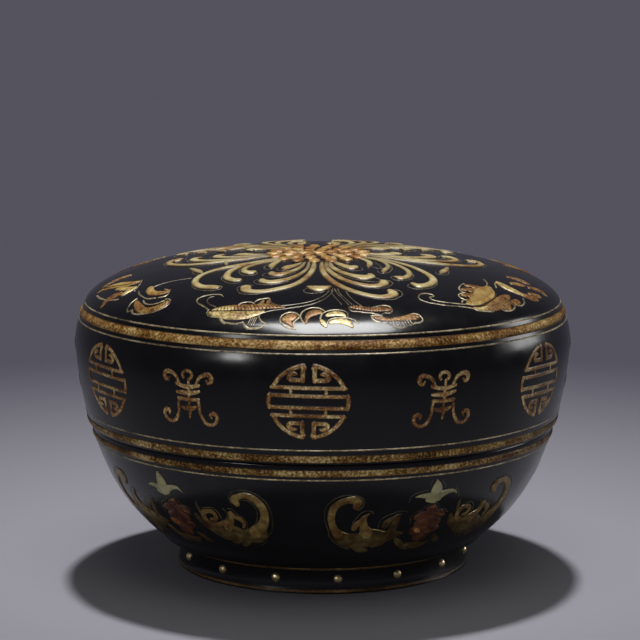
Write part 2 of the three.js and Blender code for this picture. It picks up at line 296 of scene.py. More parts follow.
# an edge colour and its span are painted shade towards the foot of a raised piece
looks = {
    "blackLacquer": {
        "tones": [(0.35, (0.0024, 0.0024, 0.003)), (0.65, (0.0045, 0.0045, 0.0056))],
        "patch": 6, "drift": 30, "driftShare": 0.5, "grain": 7, "relief": 0.02,
        "roughness": (0.17, 0.25), "metal": 0, "specular": 0.3,
    },
    "beadGilt": {
        **beadLook, "edge": (0.03, 0.013, 0.004), "metal": 0.04, "specular": 0.04,
        "tones": [(0.38, (0.04, 0.014, 0.003)), (0.46, (0.17, 0.075, 0.018)), (0.53, (0.34, 0.19, 0.055)),
                  (0.61, (0.62, 0.47, 0.21))],
    },
    # the seam beads: the bead gilt written darker, as painted shade low on the box
    "shadedRimGilt": {
        **beadLook, "edge": (0.02, 0.009, 0.003), "specular": 0.06,
        "tones": [(0.38, (0.02, 0.008, 0.002)), (0.46, (0.09, 0.042, 0.012)), (0.53, (0.2, 0.118, 0.036)),
                  (0.61, (0.44, 0.34, 0.16))],
    },
    # the foot beads: their own reddish brown, written dark as painted shade under the bowl
    "shadedFootGilt": {
        **beadLook, "edge": (0.02, 0.01, 0.005), "patch": 0.8, "driftShare": 0.45, "relief": 0.03,
        "roughness": (0.32, 0.55), "metal": 0.12, "specular": 0.2,
        "tones": [(0.36, (0.014, 0.007, 0.002)), (0.5, (0.05, 0.028, 0.009)), (0.64, (0.13, 0.085, 0.035))],
    },
    "fretGilt": {
        **lineLook, "edge": (0.035, 0.014, 0.004), "edgeShadeSpan": (0.15, 0.72), "patch": 0.5, "drift": 5,
        "relief": 0.05, "specular": 0.2,
        "tones": [(0.4, (0.08, 0.026, 0.007)), (0.47, (0.21, 0.092, 0.026)), (0.54, (0.36, 0.23, 0.085)),
                  (0.62, (0.7, 0.58, 0.31))],
    },
    "lineGilt": {
        **lineLook,
        "tones": [(0.38, (0.03, 0.02, 0.009)), (0.48, (0.21, 0.16, 0.08)), (0.62, (0.52, 0.44, 0.27))],
    },
    "stemLine": {
        **lineLook,
        "tones": [(0.38, (0.035, 0.024, 0.012)), (0.5, (0.11, 0.085, 0.045)), (0.64, (0.22, 0.18, 0.11))],
    },
    # the bowl's thin lines: the line gilt written dark, as painted shade under the lid
    "shadedLineGilt": {
        **lineLook, "metal": 0.2,
        "tones": [(0.38, (0.012, 0.009, 0.004)), (0.5, (0.04, 0.03, 0.015)), (0.64, (0.085, 0.065, 0.035))],
    },
    "petalGilt": {
        **bossLook, "edge": (0.05, 0.03, 0.012), "edgeShadeSpan": (0.24, 0.7), "patch": 4, "drift": 14,
        "driftShare": 0.45, "roughness": (0.32, 0.44), "specular": 0.22,
        "tones": [(0.39, (0.33, 0.165, 0.05)), (0.47, (0.5, 0.37, 0.155)), (0.6, (0.68, 0.575, 0.29))],
    },
    "bossGilt": {
        **bossLook, "edge": (0.09, 0.035, 0.008),
        "tones": [(0.36, (0.36, 0.17, 0.035)), (0.5, (0.52, 0.31, 0.09)), (0.64, (0.66, 0.47, 0.19))],
    },
    "bossRust": {
        **bossLook, "edge": (0.05, 0.018, 0.004),
        "tones": [(0.36, (0.21, 0.075, 0.014)), (0.5, (0.37, 0.165, 0.038)), (0.64, (0.52, 0.29, 0.085))],
    },
    "leafGold": {
        **leafLook, "edge": (0.1, 0.055, 0.02), "patch": 0.6, "roughness": (0.3, 0.45), "specular": 0.35,
        "tones": [(0.38, (0.15, 0.07, 0.016)), (0.45, (0.38, 0.24, 0.065)), (0.54, (0.62, 0.49, 0.18)),
                  (0.63, (0.8, 0.71, 0.37))],
    },
    "leafAmber": {
        **leafLook, "edge": (0.05, 0.022, 0.006), "edgeShadeSpan": (0.1, 0.85), "drift": 6, "driftShare": 0.5,
        "roughness": (0.34, 0.48), "specular": 0.18,
        "tones": [(0.38, (0.11, 0.04, 0.008)), (0.46, (0.33, 0.165, 0.038)), (0.55, (0.5, 0.32, 0.09)),
                  (0.64, (0.62, 0.47, 0.19))],
    },
    "leafOrange": {
        **leafLook, "edge": (0.04, 0.016, 0.005), "roughness": (0.34, 0.5), "specular": 0.16,
        "tones": [(0.38, (0.06, 0.019, 0.005)), (0.46, (0.19, 0.08, 0.02)), (0.56, (0.34, 0.185, 0.055)),
                  (0.65, (0.5, 0.34, 0.14))],
    },
    "veinUmber": {
        "tones": [(0.36, (0.022, 0.009, 0.003)), (0.64, (0.09, 0.038, 0.01))],
        "patch": 1, "drift": 6, "driftShare": 0.4, "grain": 0.5, "relief": 0.01,
        "roughness": (0.35, 0.5), "metal": 0.05, "specular": 0.08,
    },
    # the bowl's garland finishes below are written darker than the lid's gilt, as painted shade under the
    # lid, over their own olive, brown, rust and pale tones
    "scrollBand": {
        **garlandLook, "edge": (0.02, 0.012, 0.005), "patch": 1.4, "roughness": (0.3, 0.46), "specular": 0.35,
        "tones": [(0.39, (0.075, 0.033, 0.008)), (0.5, (0.14, 0.085, 0.023)), (0.62, (0.25, 0.185, 0.065))],
    },
    "scrollBody": {
        **garlandLook, "edge": (0.01, 0.007, 0.004),
        "tones": [(0.39, (0.024, 0.011, 0.003)), (0.5, (0.055, 0.032, 0.009)), (0.62, (0.105, 0.08, 0.027))],
    },
    "rustLacquer": {
        **garlandLook, "edge": (0.01, 0.005, 0.003), "driftShare": 0.4, "metal": 0.05,
        "tones": [(0.39, (0.02, 0.006, 0.003)), (0.5, (0.06, 0.018, 0.007)), (0.62, (0.115, 0.05, 0.02))],
    },
    "blossomLacquer": {
        **garlandLook, "edge": (0.07, 0.068, 0.025), "patch": 2, "drift": 5, "driftShare": 0.4,
        "relief": 0.02, "roughness": (0.3, 0.42), "metal": 0.05, "specular": 0.4,
        "tones": [(0.36, (0.16, 0.155, 0.065)), (0.5, (0.25, 0.235, 0.115)), (0.64, (0.34, 0.32, 0.18))],
    },
    "studBrass": {
        "tones": [(0.36, (0.56, 0.38, 0.15)), (0.6, (0.86, 0.7, 0.4))],
        "patch": 0.8, "drift": 4, "driftShare": 0.4, "grain": 0.4, "relief": 0.006,
        "roughness": (0.3, 0.4), "metal": 0.95, "specular": 0.5,
    },
}
finishes = {name: mottledFinish(name, look) for name, look in looks.items()}
print("finishes made")


# lid shell

lidForm = {
    "rimRadius": 56.8 * mm,
    "fullRadius": 60 * mm,
    "fullHeight": 20.3 * mm,  # above the seam
    "fullness": 1.6,
    "shoulderRadius": 58.2 * mm,
    "shoulderHeight": 27.4 * mm,  # above the seam
    "domeRadius": 57.9 * mm,
    "domeRise": 13.5 * mm,
    "boreRadius": 52.2 * mm,
    "crownThickness": 5 * mm,
    "ceilingRise": 12.7 * mm,
    "edge": 0.5 * mm,
    "seamGap": 0.1 * mm,
    "edgeSteps": 4,
    "wallSteps": 26,
    "domeSteps": 52,
    "ceilingSteps": 26,
}
domeFoot = crownTop - lidForm["domeRise"]


# outside radius of the lid's wall at a height above the table
def lidWallRadius(height):
    rise = height - seamHeight
    if rise < lidForm["fullHeight"]:
        share = 1 - max(rise, 0) / lidForm["fullHeight"]
        swell = lidForm["fullRadius"] - lidForm["rimRadius"]
        return lidForm["rimRadius"] + swell * (1 - share ** lidForm["fullness"])
    share = (rise - lidForm["fullHeight"]) / (lidForm["shoulderHeight"] - lidForm["fullHeight"])
    return lidForm["fullRadius"] - (lidForm["fullRadius"] - lidForm["shoulderRadius"]) * share ** 2


# the same across the shoulder, where the wall turns into the dome
def shoulderRadius(height):
    if height <= domeFoot:
        return lidWallRadius(height)
    return lidForm["domeRadius"] * math.sqrt(1 - ((height - domeFoot) / lidForm["domeRise"]) ** 2)


# height of the dome above the table at a distance from the axis
def domeHeight(radius):
    share = min(radius / lidForm["domeRadius"], 1)
    return domeFoot + lidForm["domeRise"] * math.sqrt(1 - share ** 2)


def lidShell():
    edge = lidForm["edge"]
    edgeSteps = lidForm["edgeSteps"]
    bottom = seamHeight + lidForm["seamGap"]
    shoulder = seamHeight + lidForm["shoulderHeight"]
    bore = lidForm["boreRadius"]
    ceilingRise = lidForm["ceilingRise"]
    ceilingFoot = crownTop - lidForm["crownThickness"] - ceilingRise
    profile = arcPoints((bore + edge, bottom + edge), edge, 180, 270, edgeSteps)
    profile += arcPoints((lidWallRadius(bottom) - edge, bottom + edge), edge, 270, 360, edgeSteps)
    profile += wallPoints(lidWallRadius, bottom + edge, shoulder, lidForm["wallSteps"])
    dome = ovalPoints((0, domeFoot), lidForm["domeRadius"], lidForm["domeRise"], 0, 90, lidForm["domeSteps"])
    profile += dome[1:]
    profile += ovalPoints((0, ceilingFoot), bore, ceilingRise, 90, 0, lidForm["ceilingSteps"])
    profile.append(profile[0])
    piece = turnProfile("lid_shell_lacquer", profile)
    finishPiece(piece, "lid", "black_lacquer", "blackLacquer", "lid_shell")


lidShell()
print("lid shell turned")


# bowl shell, locating lip and foot ring

bowlForm = {
    "rimRadius": 55.9 * mm,
    "baseRadius": 38.1 * mm,
    "curveStart": 2.2 * mm,  # below the seam
    "straightness": 0.51,
    "floor": 11 * mm,
    "floorRadius": 36 * mm,
    "rimRound": 0.5 * mm,
    "rimArc": (15, 90, 4),  # from and to in degrees, and steps
    "baseRound": 1 * mm,
    "baseArc": (270, 340, 5),
    "wallSteps": 36,
}
lipForm = {"outer": 51.8 * mm, "inner": 49.4 * mm, "edge": 0.6 * mm, "edgeSteps": 4}
footForm = {
    "topRadius": 35.9 * mm,
    "baseRadius": 35.7 * mm,
    "waist": 0.7 * mm,
    "thickness": 4.2 * mm,
    "edge": 0.4 * mm,
    "edgeSteps": 3,
    "wallSteps": 12,
}


# how far the bowl has drawn in, from 0 at its rim to 1 at its base
def bowlDraw(depth):
    return bowlForm["straightness"] * depth + (1 - bowlForm["straightness"]) * depth ** 3


# outside radius of the bowl at a height above the table
def bowlWallRadius(height):
    top = seamHeight - bowlForm["curveStart"]
    depth = max(0, (top - height) / (top - footTop))
    return bowlForm["rimRadius"] - (bowlForm["rimRadius"] - bowlForm["baseRadius"]) * bowlDraw(depth)


def bowlShell():
    rim = bowlForm["rimRound"]
    base = bowlForm["baseRound"]
    low = footTop + base
    high = seamHeight - rim
    profile = [(0, footTop)]
    profile += arcPoints((bowlWallRadius(low) - base, low), base, *bowlForm["baseArc"])
    profile += wallPoints(bowlWallRadius, low, high, bowlForm["wallSteps"])
    profile += arcPoints((bowlForm["rimRadius"] - rim, high), rim, *bowlForm["rimArc"])
    profile.append((lipForm["outer"], seamHeight))
    profile.append((lipForm["outer"], lipFoot))
    for i in range(bowlForm["wallSteps"] + 1):
        depth = i / bowlForm["wallSteps"]
        radius = lipForm["inner"] - (lipForm["inner"] - bowlForm["floorRadius"]) * bowlDraw(depth)
        profile.append((radius, lipFoot - (lipFoot - bowlForm["floor"]) * depth))
    profile.append((0, bowlForm["floor"]))
    piece = turnProfile("bowl_shell_lacquer", profile)
    finishPiece(piece, "bowl", "black_lacquer", "blackLacquer", "bowl_shell")


def locatingLip():
    edge = lipForm["edge"]
    edgeSteps = lipForm["edgeSteps"]
    profile = [(lipForm["inner"], lipFoot), (lipForm["outer"], lipFoot)]
    profile += arcPoints((lipForm["outer"] - edge, lipTop - edge), edge, 0, 90, edgeSteps)
    profile += arcPoints((lipForm["inner"] + edge, lipTop - edge), edge, 90, 180, edgeSteps)
    profile.append(profile[0])
    piece = turnProfile("locating_lip_lacquer", profile)
    finishPiece(piece, "bowl", "black_lacquer", "blackLacquer", "locating_lip")


def footWallRadius(height):
    share = height / footTop
    straight = footForm["baseRadius"] + (footForm["topRadius"] - footForm["baseRadius"]) * share
    return straight - footForm["waist"] * math.sin(math.pi * share)


def footRing():
    edge = footForm["edge"]
    edgeSteps = footForm["edgeSteps"]
    inner = footForm["baseRadius"] - footForm["thickness"]
    profile = arcPoints((inner + edge, edge), edge, 180, 270, edgeSteps)
    profile += arcPoints((footWallRadius(0) - edge, edge), edge, 270, 360, edgeSteps)
    profile += wallPoints(footWallRadius, edge, footTop, footForm["wallSteps"])
    profile += [(inner, footTop), profile[0]]
    piece = turnProfile("foot_ring_lacquer", profile)
    finishPiece(piece, "bowl", "black_lacquer", "blackLacquer", "foot_ring")


bowlShell()
locatingLip()
footRing()
print("bowl, lip and foot turned")


# gilt beads and the thin lines beside them

bandForm = {"sunk": 0.5 * mm, "steps": 10, "fullness": 0.6}
beads = {
    "lid_shoulder_bead": {"wall": shoulderRadius, "middle": seamHeight + 27.4 * mm, "height": 2.1 * mm,
                          "bulge": 0.42 * mm, "body": "lid", "finish": "beadGilt"},
    "lid_rim_bead": {"wall": lidWallRadius, "middle": seamHeight + 1.5 * mm, "height": 1.85 * mm,
                     "bulge": 0.24 * mm, "body": "lid", "finish": "shadedRimGilt"},
    "bowl_rim_bead": {"wall": bowlWallRadius, "middle": seamHeight - 2.1 * mm, "height": 1.65 * mm,
                      "bulge": 0.24 * mm, "body": "bowl", "finish": "shadedRimGilt"},
    "foot_lower_bead": {"wall": footWallRadius, "middle": 0.75 * mm, "height": 0.75 * mm,
                        "bulge": 0.22 * mm, "body": "bowl", "finish": "shadedFootGilt"},
    "foot_upper_bead": {"wall": footWallRadius, "middle": footTop - 0.85 * mm, "height": 0.95 * mm,
                        "bulge": 0.5 * mm, "body": "bowl", "finish": "shadedFootGilt"},
}
lineForm = {"height": 0.34 * mm, "bulge": 0.09 * mm}
thinLines = {
    "lid_line_over_shoulder": {"wall": shoulderRadius, "middle": seamHeight + 29.4 * mm, "body": "lid"},
    "lid_line_under_shoulder": {"wall": lidWallRadius, "middle": seamHeight + 25.5 * mm, "body": "lid"},
    "lid_line_over_rim": {"wall": lidWallRadius, "middle": seamHeight + 3.6 * mm, "body": "lid"},
    "bowl_line_under_bead": {"wall": bowlWallRadius, "middle": seamHeight - 3.7 * mm, "body": "bowl"},
}


# a rounded band on a wall, turned as a closed profile
def turnBand(name, band):
    wallRadius, height = band["wall"], band["height"]
    low = band["middle"] - height / 2

    def swell(level):
        share = min(max((level - low) / height, 0), 1)
        return max(math.sin(math.pi * share), 0) ** bandForm["fullness"]

    levels = [low + height * i / bandForm["steps"] for i in range(bandForm["steps"] + 1)]
    profile = [(wallRadius(level) + band["bulge"] * swell(level), level) for level in levels]
    sunk = min(wallRadius(low), wallRadius(low + height)) - bandForm["sunk"]
    profile += [(sunk, low + height), (sunk, low), profile[0]]
    piece = turnProfile(name, profile)
    markRise(piece, [swell(vertex.co.z) for vertex in piece.data.vertices])
    return piece


for node, bead in beads.items():
    finishPiece(turnBand(f"{node}_gilt", bead), bead["body"], "gilt_lacquer", bead["finish"], node)
for name, line in thinLines.items():
    finishPiece(turnBand(name, {**lineForm, **line}), line["body"], "gilt_lacquer", "lineGilt")
print("beads and lines turned")


# studs

studForm = {
    "count": 15,
    "firstAngle": 5.8,
    "height": 3.6 * mm,
    "headRadius": 1.05 * mm,
    "headRise": 0.75 * mm,
    "headSteps": 8,
    "shankRadius": 0.45 * mm,
    "shankLength": 2.4 * mm,
    "sides": 28,
}


def studs():
    shank, depth = studForm["shankRadius"], studForm["shankLength"]
    profile = [(0, -depth), (shank, -depth), (shank, 0)]
    profile += ovalPoints((0, 0), studForm["headRadius"], studForm["headRise"], 0, 90, studForm["headSteps"])
    model = turnProfile("foot_stud_model", profile, studForm["sides"])
    seat = footWallRadius(studForm["height"])
    for i in range(studForm["count"]):
        node = f"foot_stud_{i + 1:02d}"
        stud = copyOf(model, f"{node}_brass")
        angle = math.radians(studForm["firstAngle"] - 90 + 360 * i / studForm["count"])
        stud.rotation_euler = (0, math.pi / 2, angle)
        stud.location = (seat * math.cos(angle), seat * math.sin(angle), studForm["height"])
        bpy.ops.object.transform_apply(location=True, rotation=True, scale=True)
        finishPiece(stud, "bowl", "stud_brass", "studBrass", node)
    bpy.data.objects.remove(model)


studs()
print("studs set")


# raised ornament: a stroke is a list of (across, up, width) points in millimetres, drawn flat with round ends
# and then laid on the lacquer

drawing = {
    "spacing": 0.45,  # between the points of a smooth line
    "leastGap": 0.01,
    "thinnest": 0.08,
    "capAngles": (30, 60, 85),
    "capFrom": 0.12,  # strokes with a smaller end radius keep it square
    "sunk": -0.05 * mm,
    "lip": 0.01 * mm,
    "waver": 0.2,  # how much the width of a pen line varies
    "waverStep": 2.3,  # radians from one point to the next
    "tickTaper": 0.6,
}


# a smooth line through the points of a stroke
def smoothLine(stroke):
    gaps = [max(math.dist(a[:2], b[:2]), drawing["leastGap"]) for a, b in zip(stroke, stroke[1:])]
    last = len(stroke) - 1
    slopes = []
    for i in range(last + 1):
        reach = sum(gaps[max(i - 1, 0):i + 1])
        before, after = stroke[max(i - 1, 0)], stroke[min(i + 1, last)]
        slopes.append([(b - a) / reach for a, b in zip(before, after)])
    line = [tuple(stroke[0])]
    for start, end, gap, leave, arrive in zip(stroke, stroke[1:], gaps, slopes, slopes[1:]):
        steps = max(1, round(gap / drawing["spacing"]))
        for k in range(1, steps + 1):
            t = k / steps
            fromStart, fromLeave = 2 * t ** 3 - 3 * t ** 2 + 1, (t ** 3 - 2 * t ** 2 + t) * gap
            fromEnd, fromArrive = 3 * t ** 2 - 2 * t ** 3, (t ** 3 - t ** 2) * gap
            point = [fromStart * a + fromLeave * u + fromEnd * b + fromArrive * v
                     for a, u, b, v in zip(start, leave, end, arrive)]
            line.append((point[0], point[1], max(point[2], drawing["thinnest"])))
    return line


# the points that round off the end of a line
def roundEnd(tip, inner):
    radius = tip[2] / 2
    run = math.dist(tip[:2], inner[:2])
    if radius < drawing["capFrom"] or run == 0:
        return []
    ux, uy = (tip[0] - inner[0]) / run, (tip[1] - inner[1]) / run
    points = []
    for degrees in drawing["capAngles"]:
        out = radius * math.sin(math.radians(degrees))
        points.append((tip[0] + ux * out, tip[1] + uy * out, tip[2] * math.cos(math.radians(degrees))))
    return points


def drawStrokes(name, strokes, roundness):
    deselectAll()
    bpy.ops.curve.primitive_bezier_curve_add(location=(0, 0, 0))
    sketch = bpy.context.object
    sketch.name = name
    curve = sketch.data
    curve.splines.clear()
    curve.dimensions = "3D"
    curve.twist_mode = "Z_UP"
    curve.bevel_depth = 1 * mm
    curve.bevel_resolution = roundness
    curve.use_fill_caps = True
    for stroke in strokes:
        line = smoothLine(stroke)
        line = roundEnd(line[0], line[1])[::-1] + line + roundEnd(line[-1], line[-2])
        spline = curve.splines.new("POLY")
        spline.points.add(len(line) - 1)
        for point, (across, up, width) in zip(spline.points, line):
            point.co = (across * mm, up * mm, 0, 1)
            point.radius = width / 2
    pick(sketch)
    bpy.ops.object.convert(target="MESH")
    piece = bpy.context.object
    piece.data.name = name
    return piece


# from 0 at the foot of a stroke to nearly 1 at its top
def riseShare(level, softness):
    return 1 - math.exp(-max(level, 0) / softness)


# lays a flat drawing where the place function puts it, with its relief under the height given
def layOn(piece, place, raised, softness):
    markRise(piece, [riseShare(vertex.co.z, softness) for vertex in piece.data.vertices])
    for vertex in piece.data.vertices:
        across, up, level = vertex.co
        relief = drawing["sunk"] if level < 0 else drawing["lip"] + raised * riseShare(level, softness)
        vertex.co = place(across, up, relief)
    closeMesh(piece, meshing["drawnSmooth"])


def domePlace(across, up, relief):
    return (across, up, domeHeight(math.hypot(across, up)) + relief)


def domePiece(name, strokes, form):
    piece = drawStrokes(name, strokes, form["roundness"])
    layOn(piece, domePlace, form["raised"], form["softness"])
    finishPiece(piece, "lid", "gilt_lacquer", form["finish"])


# one motif on a wall, copied round it
def wallPieces(name, strokes, form):
    def place(across, up, relief):
        height = form["middle"] + up
        radius = form["wall"](height) + relief
        angle = across / form["drawnRadius"] - math.pi / 2
        return (radius * math.cos(angle), radius * math.sin(angle), height)

    motif = drawStrokes(name, strokes, form["roundness"])
    layOn(motif, place, form["raised"], form["softness"])
    for i, angle in enumerate(form["angles"]):
        piece = copyOf(motif, f"{name}_{i + 1}")
        piece.rotation_euler.z = math.radians(angle)
        bpy.ops.object.transform_apply(location=False, rotation=True, scale=False)
        finishPiece(piece, form["body"], "gilt_lacquer", form["finish"])
    bpy.data.objects.remove(motif)


def even(points, width):
    return [(x, y, width) for x, y in points]


# a line as a pen draws it, now wider and now thinner
def penLine(points, width):
    swells = [1 + drawing["waver"] * math.sin(drawing["waverStep"] * i) for i in range(len(points))]
    return [(x, y, width * swell) for (x, y), swell in zip(points, swells)]


def bolder(strokes, boldness):
    return [[(x, y, width * boldness) for x, y, width in stroke] for stroke in strokes]


def mirrored(stroke):
    return [(-x, y, width) for x, y, width in stroke]


def flipped(stroke):
    return [(x, -y, width) for x, y, width in stroke]


def turned(stroke, degrees, centre=(0, 0)):
    cx, cy = centre
    c, s = math.cos(math.radians(degrees)), math.sin(math.radians(degrees))
    return [(cx + (x - cx) * c - (y - cy) * s, cy + (x - cx) * s + (y - cy) * c, w) for x, y, w in stroke]


# the point at a share of the way along a line
def alongLine(points, share):
    lengths = [math.dist(a, b) for a, b in zip(points, points[1:])]
    left = share * sum(lengths)
    for a, b, length in zip(points, points[1:], lengths):
        if left <= length:
            return (a[0] + (b[0] - a[0]) * left / length, a[1] + (b[1] - a[1]) * left / length)
        left -= length
    return points[-1]


# short ticks from one line to another
def hatch(inner, outer, count, width):
    ticks = []
    for i in range(count):
        share = (i + 0.5) / count
        end = (*alongLine(outer, share), width * drawing["tickTaper"])
        ticks.append([(*alongLine(inner, share), width), end])
    return ticks


# wall medallions: a round fret in three bars and four hooked corners

lidWallForm = {
    "wall": lidWallRadius,
    "drawnRadius": lidForm["fullRadius"],
    "softness": 0.3 * mm,
    "roundness": 1,
    "body": "lid",
    "finish": "fretGilt",
}
medallion = {
    **lidWallForm,
    "angles": (-3.1, 58.2, 119, 180, 241, -57.6),
    "middle": seamHeight + 14.9 * mm,
    "raised": 0.2 * mm,
    "boldness": 1.1,  # of every width below
    "tilt": -1.2,
    "quarter": [  # drawn at the upper right, for all four quarters
        even(ovalPoints((0, 0), 8.6, 8.2, 23.6, 81, 6), 1),  # the ring
        even([(0.95, 7.7), (1.2, 8.2), (1.75, 8.1)], 0.95),  # where the ring turns down to the upright
        even([(1.3, 7.9), (1.3, 4.9)], 1.1),
        even([(1.3, 4.9), (4, 4.95)], 1),
        [(3.7, 4.9, 1.05), (4.4, 5.3, 1.15), (4.2, 6, 1.1), (3.3, 6.35, 1), (2.75, 6.3, 0.6)],
        even([(3.9, 3.2), (3.9, 1.35)], 0.8),
    ],
    "bars": [  # above the middle, for below it too
        even([(-8.15, 3.2), (8.15, 3.2)], 0.9),
        even([(-8.7, 1.35), (8.7, 1.35)], 0.9),
    ],
    "side": even([(8.75, 1.4), (8.95, 0), (8.75, -1.4)], 1),
}


def medallionStrokes():
    strokes = []
    for stroke in medallion["quarter"]:
        strokes += [stroke, mirrored(stroke), flipped(stroke), mirrored(flipped(stroke))]
    for bar in medallion["bars"]:
        strokes += [bar, flipped(bar)]
    strokes += [medallion["side"], mirrored(medallion["side"])]
    return [turned(stroke, medallion["tilt"]) for stroke in bolder(strokes, medallion["boldness"])]


wallPieces("lid_medallion", medallionStrokes(), medallion)


# wall emblems: a scrolled fret between the medallions

emblem = {
    **lidWallForm,
    "angles": (-30.3, 26.8, 90, 149, 210, -90.5),
    "middle": seamHeight + 14.7 * mm,
    "raised": 0.17 * mm,
    "paired": [  # drawn on the right and mirrored to the left
        [(2.1, 2.5, 0.8), (2.6, 3.7, 0.85), (3.3, 4.7, 1), (4.5, 5.3, 1.15), (5.6, 5.35, 1.3),
         (6.2, 4.6, 1.35), (6, 3.75, 1.15), (5.3, 3.45, 0.9), (4.9, 4, 0.6)],
        [(2.4, -0.5, 0.85), (2.8, -1.9, 0.85), (2.8, -3.3, 0.85), (3.3, -4.6, 0.95), (4.1, -5.8, 1),
         (5.4, -6.2, 0.95), (6.5, -5.75, 0.95), (7.1, -4.8, 1.05), (7, -3.9, 1.2), (6.2, -3.45, 1.25),
         (5.4, -3.9, 1), (5.7, -4.5, 0.6)],
    ],
    "single": [
        [(0.3, 3.9, 0.85), (0.3, 2.4, 0.95)],
        [(0.2, 2.3, 0.8), (0.2, 0.6, 1), (0.15, -0.6, 0.8)],
        [(-3, 2.8, 0.95), (-1.5, 2.4, 1.1), (0, 2.25, 1.25), (1.5, 2.4, 1.1), (2.9, 2.75, 0.95)],
        [(-2.9, 0.9, 0.85), (-1.6, 0.85, 1.2), (0.1, 0.8, 1.35), (1.7, 1.05, 1.2), (2.9, 1.4, 0.85)],
        [(-2.6, -0.5, 0.95), (0, -0.7, 1.05), (2.6, -0.5, 1)],
        [(-2, -2.5, 0.7), (-0.9, -2.75, 1.2), (0.1, -2.7, 1.35), (1.1, -2.6, 1.2), (1.9, -2.2, 0.8)],
        [(0.1, -0.9, 0.7), (0.1, -2.1, 0.7)],
        [(0.2, -3.2, 1.1), (0, -4.8, 0.6)],
        even(ovalPoints((0, 5), 1.25, 0.95, -60, 215, 9), 0.92),  # the open ring on top
    ],
}
emblemStrokes = emblem["single"] + emblem["paired"] + [mirrored(stroke) for stroke in emblem["paired"]]
wallPieces("lid_emblem", emblemStrokes, emblem)
print("wall ornament laid")


# lid flower: long curling petals with round tips, in five groups about the boss

flower = {
    "centre": (-1, -8),
    "groupTurn": 72,
    "fullness": 0.86,  # of the widths below
    "petals": {"raised": 0.52 * mm, "softness": 0.8 * mm, "roundness": 4, "finish": "petalGilt"},
    "outlines": {"raised": 0.1 * mm, "softness": 0.35 * mm, "roundness": 1, "finish": "stemLine"},
    "outlineRun": 6,  # how far an outline follows its petal before the tip
    "outlineShare": 0.4,  # at most this much of the petal
    "outlineSkip": 3,  # points of the petal for each of the outline
    "outlineGap": (0.1, 0.65),  # beside the petal and round its tip
    "outlineWidth": 0.26,
    "tipSweep": (-90, 60),  # degrees round the tip
    "tipSteps": 8,
}
frontLeftPetals = [
    [(-2, -20, 1.2), (-2.2, -26, 1.8), (-3, -31, 1.9), (-4.4, -35.2, 2), (-6.6, -38.6, 2.1),
     (-9.8, -40.5, 2.1), (-13.2, -41.4, 2), (-16, -41, 2.2), (-17.4, -39.8, 3), (-17.5, -38.3, 3.2)],
    [(-3.2, -20, 1), (-3.6, -26, 1.3), (-5, -30.5, 1.6), (-7.2, -33.8, 2.1), (-9.8, -35.5, 2.4),
     (-12.2, -35.9, 2.5), (-13.7, -35, 2.6), (-13.9, -33.9, 1.8)],
    [(-4.2, -20, 1), (-5.2, -25, 1.6), (-7.2, -28.6, 2), (-9.6, -30.4, 2.6), (-11.4, -30.2, 2.8),
     (-11.8, -28.9, 2)],
    [(-5, -20, 1), (-6.2, -22.8, 2), (-7.8, -24.4, 3), (-8.7, -25.6, 2.6), (-8.9, -26.8, 1.2)],
]
frontRightPetals = [
    [(-0.2, -20, 1), (-0.2, -25, 1.7), (0.3, -30.5, 1.9), (1.5, -35, 2), (3.4, -38.8, 2.1),
     (6, -41.8, 2.1), (9.4, -43.9, 2), (12.8, -44.5, 1.9), (15.2, -43.6, 2.4), (15.9, -42.2, 3),
     (15.3, -40.9, 2.2)],
    [(0.8, -20, 1), (1, -26, 1.6), (2.4, -31, 2), (4.6, -35, 2.1), (7.6, -37.7, 2.1), (10.8, -38.6, 2.2),
     (13.2, -37.8, 2.5), (14, -36, 2.8), (13.7, -34.9, 2)],
    [(1.6, -20, 1), (2.2, -25, 1.8), (4, -29, 2.1), (6.6, -31.8, 2.5), (9.2, -33, 3.4), (10.9, -32.2, 3),
     (10.9, -30.4, 1.8)],
    [(2.4, -18, 1.2), (3.6, -21.6, 2), (5.4, -24.2, 3), (6.8, -25.2, 3.4), (7.4, -24.2, 2.4)],
]
sidePetals = [
    [(-6, -13, 1.2), (-13, -16.4, 1.8), (-19, -19, 2), (-24, -21.2, 2), (-27.4, -24, 2),
     (-29.2, -27.4, 2.1), (-29.3, -30.8, 2.2), (-27.8, -33.8, 2.3), (-25.4, -35.3, 2.6),
     (-24.2, -35.8, 2)],
    [(-6, -13, 1.2), (-12, -15.6, 1.8), (-17, -18.6, 2.2), (-20.4, -22.6, 2.2), (-22, -26.6, 2.2),
     (-22, -30, 2.3), (-20.6, -32.2, 2.5), (-19.3, -32.5, 2)],
    [(-5, -14, 1.2), (-10, -16.4, 1.8), (-15, -19.4, 1.8), (-17.8, -22.6, 1.8), (-18.3, -25.4, 2),
     (-17.2, -27.3, 2.8), (-16.2, -27.2, 2.4)],
    [(-9.6, -16, 1.5), (-10.8, -19, 2), (-11.8, -22, 2.2), (-11.9, -24.5, 1.4)],
    [(9, -12.6, 1.2), (15, -15.6, 1.8), (19.6, -19.4, 2), (22.8, -23.6, 2.1), (25, -27.8, 2.3),
     (25.4, -31.4, 2.4), (23.8, -34.6, 2.5), (21.8, -35.7, 2.6), (20.7, -34.9, 2)],
    [(9, -13.5, 1.2), (14, -16.6, 1.6), (17.4, -20.4, 1.8), (19.6, -24.6, 1.8), (20, -28, 1.9),
     (19, -30.8, 2.2), (17.6, -31.4, 2.6), (16.8, -30.9, 1.6)],
    [(8, -13, 1.2), (12.6, -15.8, 1.4), (14.8, -19.4, 1.5), (15.2, -23, 1.5), (14.4, -25.6, 1.9),
     (14, -27.6, 1.4)],
    [(7, -12, 1.4), (9.4, -15.8, 1.8), (10.9, -19, 1.9), (10.9, -22, 1.8), (10.6, -24, 1)],
]
